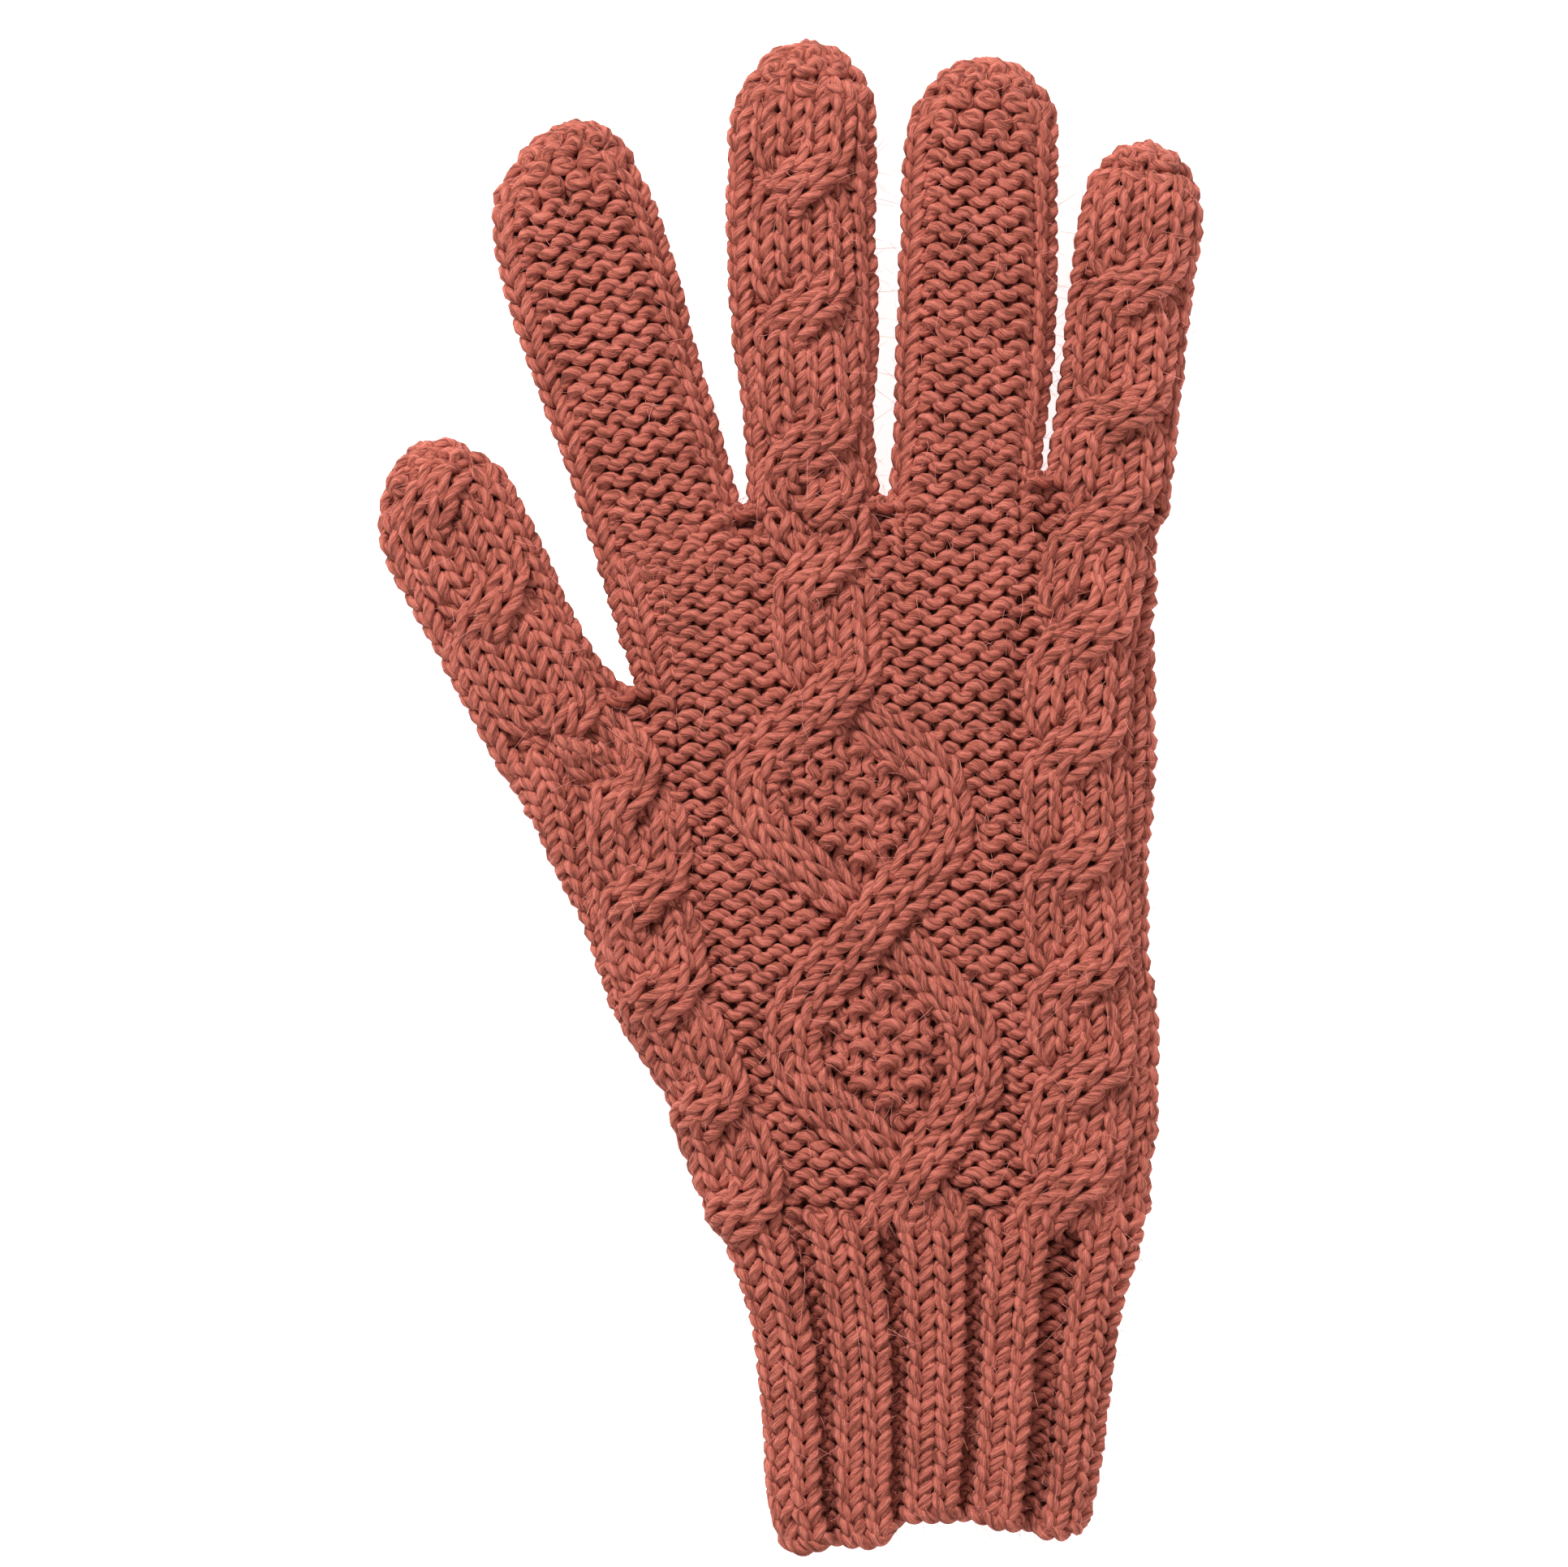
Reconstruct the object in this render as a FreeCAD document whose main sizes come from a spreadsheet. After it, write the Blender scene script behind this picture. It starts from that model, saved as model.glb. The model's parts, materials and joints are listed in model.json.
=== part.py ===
import FreeCAD, Part
import math
import os

import Sketcher
from FreeCAD import Placement, Rotation, Vector

# A knitted right-hand glove, lying palm down: +Z is the back of the hand, +Y runs from
# the cuff to the fingertips and the thumb is on the -X side. The origin is the centre
# of the outline, on the surface that the palm rests on. Lengths are in millimetres.

UP = Vector(0, 0, 1)

# ---------------------------------------------------------------- driving dimensions
# One row each: alias, value, what it is.
SIZES = [
    ("fabric_wall", 3.2, "thickness of one layer of the knitted fabric"),
    ("hand_height", 14.0, "hand, palm layer to back layer"),
    ("cuff_height", 13.6, "cuff between its ribs, palm layer to back layer"),
    ("finger_height", 13.0, "finger and thumb tubes"),
    ("hinge_level", 6.5, "height of every bending line"),
    ("hinge_gap", 0.8, "half of the gap between two tubes at a bending line"),
    ("palm_fold", 46.5, "angle of the fold relief on the palm side, degrees"),
    ("back_fold", 11.5, "angle of the fold relief on the back side, degrees"),
    ("band_gap", 0.25, "space between a stretching band and the tubes beside it"),
    ("band_inset", 0.3, "how far a stretching band stays inside its tubes"),
    ("palm_root_cut", 8.0, "distance from a knuckle line to the end of the palm layer"),
    ("back_root_cut", 2.6, "distance from a knuckle line to the end of the back layer"),
    ("relief_rise", 1.6, "height of cables, diamonds and ribs above the ground"),
    ("seat", 0.05, "space under a raised strand"),
    ("cable_width", 13.6, "rope cable of four stitches"),
    ("strand_width", 7.6, "travelling strand of two stitches"),
    ("finger_cable_width", 11.4, "rope cable where it narrows on a finger"),
    ("rib_width", 9.2, "raised rib of two stitches"),
    ("cast_on_height", 14.2, "cast-on edge, palm side to back side"),
    ("cast_on_depth", 2.3, "cast-on edge along the wrist"),
    ("cast_on_width", 52.4, "cast-on edge from side to side"),
    ("cast_on_x", 23.8, "middle of the cast-on edge"),
    ("cast_on_y", -118.55, "end of the cast-on edge towards the hand"),
    ("wrist_band_width", 71.0, "stretching ring at the wrist from side to side"),
    ("wrist_band_x", 22.6, "middle of the stretching ring at the wrist"),
    ("rib_start", -117.6, "where the ribs begin above the cast-on edge"),
    ("rib_clearance", 0.6, "space between the ribs and the wrist bending relief"),
    ("tube_overrun", 5.0, "length added below a knuckle before its fold is cut"),
    ("knuckle_band_start", -14.0, "start of a knuckle band before its folds are cut"),
    ("knuckle_band_length", 30.0, "length of a knuckle band before its folds are cut"),
    ("middle_band_start", -12.0, "start of a middle band before its folds are cut"),
    ("middle_band_length", 24.0, "length of a middle band before its folds are cut"),
    ("wrist_line", -66.0, "place of the wrist bending line"),
    ("wrist_relief", 3.4, "half of the gap at the wrist bending line"),
]

# Each finger: knuckle line x and y, lean to the left in degrees, length to its middle
# line, length from there to the tip, width of the lower and of the upper tube, length
# of the drawn-in tip, and how far its knuckle line is turned from the tube's own cross
# line (the four fingers fold about lines parallel to X, the thumb about its own).
FINGERS = {
    "thumb": (-40.3, 17.6, 25.0, 19.0, 23.8, 22.8, 23.6, 8.0, 0.0),
    "index": (-21.7, 51.5, 17.0, 26.0, 31.7, 24.6, 27.0, 9.0, -17.0),
    "middle": (4.4, 53.5, 1.6, 30.0, 37.3, 21.2, 24.2, 9.0, -1.6),
    "ring": (29.5, 54.0, -2.2, 29.0, 35.4, 24.4, 25.4, 9.0, 2.2),
    "little": (52.4, 58.0, -6.0, 21.5, 25.5, 19.8, 19.8, 8.0, 6.0),
}
FINGER_CELLS = ("x", "y", "lean", "lower", "upper", "lower_width", "upper_width", "tip", "skew")

for finger, values in FINGERS.items():
    for cell, value in zip(FINGER_CELLS, values):
        SIZES.append((f"{finger}_{cell}", value, f"{finger} {cell.replace('_', ' ')}"))

doc = FreeCAD.newDocument("knitted_glove")
sheet = doc.addObject("Spreadsheet::Sheet", "sizes")
for row, (alias, value, note) in enumerate(SIZES, start=1):
    sheet.set(f"A{row}", note)
    sheet.set(f"B{row}", str(value))
    sheet.setAlias(f"B{row}", alias)
doc.recompute()

NODES = []


def cell(expression):
    """The value of an expression over the sheet's cells."""
    return float(sheet.evalExpression(expression))


# ---------------------------------------------------------------- sketch helpers
def new_body(label):
    body = doc.addObject("PartDesign::Body", label)
    body.Label = label
    NODES.append(body)
    return body


def origin_plane(body, role):
    for feature in body.Origin.OriginFeatures:
        if feature.Role == role:
            return feature
    raise RuntimeError(f"{body.Label} has no {role}")


def new_sketch(body, name, role, shift=(0, 0, 0), turn=0.0):
    """A sketch on one of the body's own planes; turn is about the plane's vertical."""
    sketch = body.newObject("Sketcher::SketchObject", f"{body.Label}_{name}")
    sketch.AttachmentSupport = [(origin_plane(body, role), "")]
    sketch.MapMode = "FlatFace"
    sketch.AttachmentOffset = Placement(Vector(*shift), Rotation(Vector(0, 1, 0), turn))
    return sketch


def pin_point(sketch, edge, end, point, names):
    """Holds one end of an edge at a place given as numbers or cell expressions."""
    for kind, part in zip(("DistanceX", "DistanceY"), point):
        value = cell(part) if isinstance(part, str) else part
        index = sketch.addConstraint(Sketcher.Constraint(kind, -1, 1, edge, end, value))
        if isinstance(part, str):
            name = f"{kind[-1].lower()}{len(names)}"
            names.append(name)
            sketch.renameConstraint(index, name)
            sketch.setExpression(f"Constraints.{name}", part)


def add_polygon(sketch, points):
    """A closed outline of straight edges through the points, each of them held."""
    places = [Vector(*[cell(c) if isinstance(c, str) else c for c in p], 0) for p in points]
    first = sketch.GeometryCount
    names = [c.Name for c in sketch.Constraints if c.Name]
    for start, end in zip(places, places[1:] + places[:1]):
        sketch.addGeometry(Part.LineSegment(start, end), False)
    count = len(points)
    for n in range(count):
        joint = Sketcher.Constraint("Coincident", first + n, 2, first + (n + 1) % count, 1)
        sketch.addConstraint(joint)
    for n, point in enumerate(points):
        pin_point(sketch, first + n, 1, point, names)


def add_slot(sketch, width, height, level):
    """A flattened tube's section: two half circles joined by straight layers."""
    radius = cell(height) / 2
    reach = (cell(width) - cell(height)) / 2
    middle = cell(level)
    right = Part.ArcOfCircle(
        Part.Circle(Vector(reach, middle, 0), UP, radius), -math.pi / 2, math.pi / 2
    )
    left = Part.ArcOfCircle(
        Part.Circle(Vector(-reach, middle, 0), UP, radius), math.pi / 2, 3 * math.pi / 2
    )
    top, bottom = middle + radius, middle - radius
    first = sketch.GeometryCount
    sketch.addGeometry(right, False)
    sketch.addGeometry(Part.LineSegment(Vector(reach, top, 0), Vector(-reach, top, 0)), False)
    sketch.addGeometry(left, False)
    sketch.addGeometry(
        Part.LineSegment(Vector(-reach, bottom, 0), Vector(reach, bottom, 0)), False
    )
    for n in range(4):
        sketch.addConstraint(
            Sketcher.Constraint("Tangent", first + n, 2, first + (n + 1) % 4, 1)
        )
    sketch.addConstraint(Sketcher.Constraint("Horizontal", first + 1))
    sketch.addConstraint(Sketcher.Constraint("Symmetric", first, 3, first + 2, 3, -2))
    held = {
        "round": (("Radius", first, radius), f"({height}) / 2"),
        "span": (("DistanceX", first + 2, 3, first, 3, 2 * reach), f"{width} - ({height})"),
        "level": (("DistanceY", -1, 1, first, 3, middle), level),
    }
    for name, (arguments, expression) in held.items():
        index = sketch.addConstraint(Sketcher.Constraint(*arguments))
        sketch.renameConstraint(index, name)
        sketch.setExpression(f"Constraints.{name}", expression)


# ---------------------------------------------------------------- feature helpers
def pad(body, sketch, length, midplane=False, reversed_way=False):
    feature = body.newObject("PartDesign::Pad", f"{sketch.Name}_pad")
    feature.Profile = sketch
    feature.setExpression("Length", length)
    feature.Midplane = midplane
    feature.Reversed = reversed_way
    sketch.Visibility = False
    return feature


def pocket(body, sketch, length=None):
    """Cuts through the whole body, both ways, or to a depth; it must remove something."""
    doc.recompute()
    before = body.Shape.Volume
    feature = body.newObject("PartDesign::Pocket", f"{sketch.Name}_pocket")
    feature.Profile = sketch
    if length is None:
        feature.Type = "ThroughAll"
        feature.Midplane = True
    else:
        feature.setExpression("Length", length)
    doc.recompute()
    if body.Shape.Volume > before - 1:
        raise RuntimeError(f"{feature.Name} cuts nothing")
    return feature


def slab(label, points, length, level):
    """A flat layer of fabric: its outline raised to a thickness, at its own level."""
    body = new_body(label)
    outline = new_sketch(body, "outline", "XY_Plane")
    add_polygon(outline, points)
    pad(body, outline, length)
    body.setExpression("Placement.Base.z", level)
    return body


def side_line(points, offset):
    """The line beside a route, at an even distance to its right (or left if negative)."""
    beside = []
    for n, (x, y) in enumerate(points):
        before = points[max(n - 1, 0)]
        after = points[min(n + 1, len(points) - 1)]
        ways = []
        for a, b in ((before, (x, y)), ((x, y), after)):
            run = math.hypot(b[0] - a[0], b[1] - a[1])
            if run > 0:
                ways.append(((b[1] - a[1]) / run, (a[0] - b[0]) / run))
        across = (sum(w[0] for w in ways), sum(w[1] for w in ways))
        size = math.hypot(*across)
        across = (across[0] / size, across[1] / size)
        mitre = offset / (across[0] * ways[0][0] + across[1] * ways[0][1])
        beside.append((x + across[0] * mitre, y + across[1] * mitre))
    return beside


def strip(points, right, left=0.0):
    """The outline of a strip that follows a route."""
    return side_line(points, right) + side_line(points, -left)[::-1]


def level_strip(points, width, first=True, last=True):
    """A strip to the right of a route, its ends cut level (along X) where asked."""
    beside = side_line(points, width)
    for wanted, end, near in ((first, 0, 1), (last, -1, -2)):
        if wanted:
            across = points[near][0] - points[end][0]
            rise = points[near][1] - points[end][1]
            way = math.copysign(1, points[-1][1] - points[0][1])
            reach = way * width * math.hypot(across, rise) / abs(rise)
            beside[end] = (points[end][0] + reach, points[end][1])
    return beside + points[::-1]


# ---------------------------------------------------------------- the hand
# The left edge runs from the wrist to the root of the thumb, the right edge from the
# root of the little finger back to the wrist.
WRIST_TOP = cell("wrist_line + wrist_relief")
WRIST_BOTTOM = cell("wrist_line - wrist_relief")
LEFT_EDGE = [(-14.8, WRIST_TOP), (-19.4, -50.0), (-28.6, -33.0), (-33.4, -19.0), (-46.6, 4.8)]
RIGHT_EDGE = [(62.9, 50.0), (61.0, 38.0), (60.0, 0.0), (58.8, -22.0), (60.0, -47.0), (58.8, WRIST_TOP)]
INDEX_EDGE = [(-23.7, 15.2), (-27.2, 25.4), (-29.8, 34.0)]
# Each crotch: the fingers beside it, its x, and the y where the fabric ends.
CROTCHES = {
    "index_middle_web": ("index", "middle", -6.3, 43.6),
    "middle_ring_web": ("middle", "ring", 16.2, 44.9),
    "ring_little_web": ("ring", "little", 41.5, 49.1),
}
CROTCH_DEPTH = 0.9
ROOT_INSET = 0.4


def root_end(finger, cut):
    """The two ends of the line where the hand's fabric stops below a knuckle line."""
    x, y = cell(f"{finger}_x"), cell(f"{finger}_y")
    half = cell(f"{finger}_lower_width") / 2 - ROOT_INSET
    lean = math.radians(cell(f"{finger}_lean"))
    turned = math.radians(cell(f"{finger}_lean + {finger}_skew"))
    reach = half / math.cos(lean - turned)
    # back along the finger, so that the distance square to the knuckle line is the cut
    back = cut / math.cos(lean - turned)
    centre = (x + back * math.sin(lean), y - back * math.cos(lean))
    across = (math.cos(turned) * reach, math.sin(turned) * reach)
    return (
        (centre[0] - across[0], centre[1] - across[1]),
        (centre[0] + across[0], centre[1] + across[1]),
    )


def crotch_point(web, cut):
    """The bottom of a crotch, always a little below the ends of the stubs beside it."""
    left, right, x, y = CROTCHES[web]
    ends = (root_end(left, cut)[1][1], root_end(right, cut)[0][1])
    return (x, min(y, min(ends) - CROTCH_DEPTH))


def hand_outline(cut):
    """The hand seen from above, with the stubs of all five fingers."""
    points = list(LEFT_EDGE[:-1])
    points += root_end("thumb", cut)
    points += INDEX_EDGE
    points += root_end("index", cut)
    for web, (_, right, _, _) in CROTCHES.items():
        points.append(crotch_point(web, cut))
        points += root_end(right, cut)
    points += RIGHT_EDGE[1:]
    return points


slab("palm_panel", hand_outline(cell("palm_root_cut")), "sizes.fabric_wall", "0")
slab(
    "back_panel",
    hand_outline(cell("back_root_cut")),
    "sizes.fabric_wall",
    "sizes.hand_height - sizes.fabric_wall",
)

WALL = cell("fabric_wall")
WALL_HEIGHT = "sizes.hand_height - 2 * sizes.fabric_wall - 2 * sizes.seat"
WALL_LEVEL = "sizes.fabric_wall + sizes.seat"
PALM_CUT = cell("palm_root_cut")

thumb_left, thumb_right = root_end("thumb", PALM_CUT)
little_right = root_end("little", PALM_CUT)[1]
slab(
    "thumb_side_edge",
    level_strip(LEFT_EDGE[:-1] + [thumb_left], WALL, last=False),
    WALL_HEIGHT,
    WALL_LEVEL,
)
slab("little_side_edge", level_strip([little_right] + RIGHT_EDGE[1:], WALL), WALL_HEIGHT, WALL_LEVEL)
slab(
    "thumb_index_web",
    level_strip([thumb_right] + INDEX_EDGE + [root_end("index", PALM_CUT)[0]], WALL, first=False),
    WALL_HEIGHT,
    WALL_LEVEL,
)
for web, (left, right, _, _) in CROTCHES.items():
    left_end = root_end(left, PALM_CUT)[1]
    right_end = root_end(right, PALM_CUT)[0]
    bottom = crotch_point(web, PALM_CUT)
    outline = [
        (left_end[0] - WALL, bottom[1] - WALL),
        (right_end[0] + WALL, bottom[1] - WALL),
        (right_end[0] + WALL, right_end[1]),
        right_end,
        bottom,
        left_end,
        (left_end[0] - WALL, left_end[1]),
    ]
    slab(web, outline, WALL_HEIGHT, WALL_LEVEL)

# Raised strands on the back: three rope cables, two diamonds with moss-stitch centres
# and the places where the diamonds' strands cross.
ON_BACK = "sizes.hand_height + sizes.seat"
RISE = "sizes.relief_rise"
CABLE = cell("cable_width") / 2
STRAND = cell("strand_width") / 2
THUMB_CABLE = [(-9.4, WRIST_TOP + 0.6), (-14.1, -51.7), (-18.6, -32.3), (-22.0, -14.0)]
THUMB_CABLE += [(-28.0, -2.5), (-38.9, 14.1)]
LITTLE_CABLE = [(45.0, WRIST_TOP + 0.6), (46.2, -20.0), (47.0, 18.0), (50.4, 42.0), (51.9, 54.6)]
CENTRE_CABLE = [(8.6, 19.0), (6.4, 27.0), (4.9, 40.0), (4.7, 50.2)]
slab("thumb_side_cable", strip(THUMB_CABLE, CABLE, CABLE), RISE, ON_BACK)
slab("little_side_cable", strip(LITTLE_CABLE, CABLE, CABLE), RISE, ON_BACK)
slab("centre_cable", strip(CENTRE_CABLE, CABLE, CABLE), RISE, ON_BACK)

# Each diamond: bottom crossing, left corner, top crossing, right corner, where the
# strands' middle lines turn.
DIAMONDS = {
    "lower_diamond": ((18.6, -58.6), (1.4, -40.0), (14.9, -20.6), (30.4, -38.0)),
    "upper_diamond": ((14.9, -20.6), (-3.8, -2.0), (10.8, 12.0), (25.8, -3.6)),
}
# Where two strands cross they share a square on its corner.
CROSS_START = 3.3
CROSS_REACH = 4.6
MOSS_INSET = 2.2 * STRAND
for label, (bottom, left, top, right) in DIAMONDS.items():
    for side, corner, sign in (("left", left, -1), ("right", right, 1)):
        route = [
            (bottom[0] + sign * CROSS_START, bottom[1] + CROSS_START),
            corner,
            (top[0] + sign * CROSS_START, top[1] - CROSS_START),
        ]
        slab(f"{label}_{side}_strand", strip(route, STRAND, STRAND), RISE, ON_BACK)
    moss = [
        (bottom[0], bottom[1] + MOSS_INSET),
        (right[0] - MOSS_INSET, right[1]),
        (top[0], top[1] - MOSS_INSET),
        (left[0] + MOSS_INSET, left[1]),
    ]
    slab(f"{label}_moss", moss, "sizes.relief_rise / 2", ON_BACK)

crossings = new_body("diamond_crossings")
crossing_sketch = new_sketch(crossings, "outline", "XY_Plane")
CROSSING_PLACES = [DIAMONDS["lower_diamond"][0], DIAMONDS["lower_diamond"][2]]
CROSSING_PLACES += [DIAMONDS["upper_diamond"][2]]
for x, y in CROSSING_PLACES:
    corners = [(x, y - CROSS_REACH), (x + CROSS_REACH, y), (x, y + CROSS_REACH)]
    add_polygon(crossing_sketch, corners + [(x - CROSS_REACH, y)])
pad(crossings, crossing_sketch, RISE)
crossings.setExpression("Placement.Base.z", ON_BACK)

# ---------------------------------------------------------------- the cuff
CUFF_LEFT = [(-1.6, -118.2), (-3.6, -108.0), (-3.9, -96.0), (-5.8, -82.0), (-11.6, WRIST_BOTTOM)]
CUFF_RIGHT = [(57.8, WRIST_BOTTOM), (54.0, -82.0), (52.6, -96.0), (51.8, -108.0), (49.2, -118.2)]
CUFF_WALL = "sizes.cuff_height - 2 * sizes.fabric_wall - 2 * sizes.seat"
PALM_RIB_RISE = 0.8
slab("cuff_palm_panel", CUFF_LEFT + CUFF_RIGHT, f"sizes.fabric_wall - {PALM_RIB_RISE}", f"{PALM_RIB_RISE}")
slab(
    "cuff_back_panel",
    CUFF_LEFT + CUFF_RIGHT,
    "sizes.fabric_wall",
    "sizes.cuff_height - sizes.fabric_wall",
)
slab("cuff_thumb_edge", level_strip(CUFF_LEFT, WALL), CUFF_WALL, WALL_LEVEL)
slab("cuff_little_edge", level_strip(CUFF_RIGHT, WALL), CUFF_WALL, WALL_LEVEL)

# The ribs: two knit columns each, closer together at the mouth than at the wrist.
RIB_MOUTH = (2.6, 11.8, 23.4, 35.2, 46.4)
RIB_TOP = (-5.4, 9.8, 23.6, 37.4, 51.8)


def ribs(label, length, level, half):
    body = new_body(label)
    outline = new_sketch(body, "outline", "XY_Plane")
    start = cell("rib_start")
    end = WRIST_BOTTOM - cell("rib_clearance")
    for low, high in zip(RIB_MOUTH, RIB_TOP):
        corners = [(low - half, start), (low + half, start), (high + half, end), (high - half, end)]
        add_polygon(outline, corners)
    pad(body, outline, length)
    body.setExpression("Placement.Base.z", level)


ribs("cuff_back_ribs", RISE, "sizes.cuff_height + sizes.seat", cell("rib_width") / 2)
ribs("cuff_palm_ribs", f"{PALM_RIB_RISE} - sizes.seat", "0", cell("rib_width") / 2)

cast_on = new_body("cast_on_edge")
cast_on_outer = new_sketch(cast_on, "outer", "XZ_Plane")
add_slot(cast_on_outer, "sizes.cast_on_width", "sizes.cast_on_height", "sizes.cast_on_height / 2")
pad(cast_on, cast_on_outer, "sizes.cast_on_depth")
cast_on_inner = new_sketch(cast_on, "inner", "XZ_Plane")
add_slot(
    cast_on_inner,
    "sizes.cast_on_width - 2 * sizes.fabric_wall",
    "sizes.cast_on_height - 2 * sizes.fabric_wall",
    "sizes.cast_on_height / 2",
)
pocket(cast_on, cast_on_inner)
cast_on.setExpression("Placement.Base.x", "sizes.cast_on_x")
cast_on.setExpression("Placement.Base.y", "sizes.cast_on_y")

# The fabric that stretches over the wrist line: a flat ring between hand and cuff.
wrist_band = new_body("wrist_band")
band_outer = new_sketch(wrist_band, "outer", "XZ_Plane")
add_slot(
    band_outer,
    "sizes.wrist_band_width",
    "sizes.cuff_height - 2 * sizes.band_inset",
    "sizes.cuff_height / 2",
)
pad(wrist_band, band_outer, "2 * sizes.wrist_relief - 2 * sizes.band_gap", midplane=True)
band_inner = new_sketch(wrist_band, "inner", "XZ_Plane")
add_slot(
    band_inner,
    "sizes.wrist_band_width - 2 * sizes.fabric_wall",
    "sizes.cuff_height - 2 * sizes.fabric_wall",
    "sizes.cuff_height / 2",
)
pocket(wrist_band, band_inner)
wrist_band.setExpression("Placement.Base.x", "sizes.wrist_band_x")
wrist_band.setExpression("Placement.Base.y", "sizes.wrist_line")

# ---------------------------------------------------------------- fingers and thumb
FOLD_PALM = "tan(sizes.palm_fold * 1 deg)"
FOLD_BACK = "tan(sizes.back_fold * 1 deg)"
LOW, HIGH, FAR = -2.0, 18.0, 60.0
# A fingertip's sections: share of its length, of the tube's width and of its height.
TIP_SECTIONS = ((0.0, 1.0, 1.0), (0.42, 0.93, 0.94), (0.78, 0.74, 0.78), (1.0, 0.42, 0.5))
TIP_GAP = 0.1


def place_on_finger(body, finger, along):
    """Puts a body on the finger's own line, a distance past its knuckle line."""
    lean = f"{finger}_lean"
    body.Placement = Placement(Vector(0, 0, 0), Rotation(UP, cell(lean)))
    body.setExpression("Placement.Rotation.Angle", f"sizes.{lean} * 1 deg")
    body.setExpression(
        "Placement.Base.x", f"sizes.{finger}_x - ({along}) * sin(sizes.{lean} * 1 deg)"
    )
    body.setExpression(
        "Placement.Base.y", f"sizes.{finger}_y + ({along}) * cos(sizes.{lean} * 1 deg)"
    )


def fold_edge(side, gap, back_slope):
    """The outline of a tube's end at a bending line, from the palm up to the back."""
    sign = "" if side > 0 else "-"
    level = "sizes.hinge_level"
    palm = f"{sign}({gap} + ({level} - {LOW}) * {FOLD_PALM})"
    back = f"{sign}({gap} + ({HIGH} - {level}) * {back_slope})"
    return [(palm, LOW), (f"{sign}({gap})", level), (back, HIGH)]


def beyond(edge, side):
    """Closes a fold edge into the region past it, on one side."""
    far = side * FAR
    return edge + [(far, HIGH), (far, LOW)]


def tube(label, width, start, length, height="sizes.finger_height"):
    """A flattened knitted tube along the finger, open at both ends."""
    body = new_body(label)
    outer = new_sketch(body, "outer", "XZ_Plane", shift=(0, 0, -cell(start)))
    add_slot(outer, width, height, "sizes.finger_height / 2")
    pad(body, outer, length, reversed_way=True)
    inner = new_sketch(body, "inner", "XZ_Plane")
    add_slot(
        inner,
        f"{width} - 2 * sizes.fabric_wall",
        "sizes.finger_height - 2 * sizes.fabric_wall",
        "sizes.finger_height / 2",
    )
    pocket(body, inner)
    return body


def fold_cut(body, name, edges, along="0", turn=0.0):
    """Cuts the regions past the given fold edges, square to a bending line."""
    sketch = new_sketch(body, name, "YZ_Plane", shift=(cell(along), 0, 0), turn=turn)
    for points in edges:
        add_polygon(sketch, points)
    pocket(body, sketch)


def finger_tubes(finger):
    """The two tubes, the drawn-in tip and the two stretching bands of one finger."""
    size = f"sizes.{finger}"
    gap = "sizes.hinge_gap"
    band = "(sizes.hinge_gap - sizes.band_gap)"
    skew = cell(f"{finger}_skew")

    lower_length = f"{size}_lower + sizes.tube_overrun"
    lower = tube(f"{finger}_lower_tube", f"{size}_lower_width", "-sizes.tube_overrun", lower_length)
    fold_cut(lower, "knuckle_fold", [beyond(fold_edge(1, gap, FOLD_BACK), -1)], turn=skew)
    fold_cut(lower, "middle_fold", [beyond(fold_edge(-1, gap, "0"), 1)], along=f"{size}_lower")
    place_on_finger(lower, finger, "0")

    tube_end = f"{size}_upper - {size}_tip"
    upper = tube(f"{finger}_upper_tube", f"{size}_upper_width", "0", tube_end)
    fold_cut(upper, "middle_fold", [beyond(fold_edge(1, gap, "0"), -1)])
    place_on_finger(upper, finger, f"{size}_lower")

    knuckle = tube(
        f"{finger}_knuckle_band",
        f"{size}_lower_width - 2 * sizes.band_inset",
        "sizes.knuckle_band_start",
        "sizes.knuckle_band_length",
        "sizes.finger_height - 2 * sizes.band_inset",
    )
    root_palm = "-(sizes.palm_root_cut - sizes.band_gap)"
    root_back = "-(sizes.back_root_cut - sizes.band_gap)"
    step = "sizes.hand_height - sizes.fabric_wall - sizes.band_gap"
    hand_side = [(root_palm, LOW), (root_palm, step), (root_back, step), (root_back, HIGH)]
    hand_side += [(-FAR, HIGH), (-FAR, LOW)]
    finger_side = beyond(fold_edge(1, band, FOLD_BACK), 1)
    fold_cut(knuckle, "knuckle_fold", [hand_side, finger_side], turn=skew)
    place_on_finger(knuckle, finger, "0")

    middle = tube(
        f"{finger}_middle_band",
        f"{size}_lower_width - 2 * sizes.band_inset",
        "sizes.middle_band_start",
        "sizes.middle_band_length",
        "sizes.finger_height - 2 * sizes.band_inset",
    )
    sides = [beyond(fold_edge(-1, band, "0"), -1), beyond(fold_edge(1, band, "0"), 1)]
    fold_cut(middle, "middle_fold", sides)
    place_on_finger(middle, finger, f"{size}_lower")

    fingertip(finger)


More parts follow.
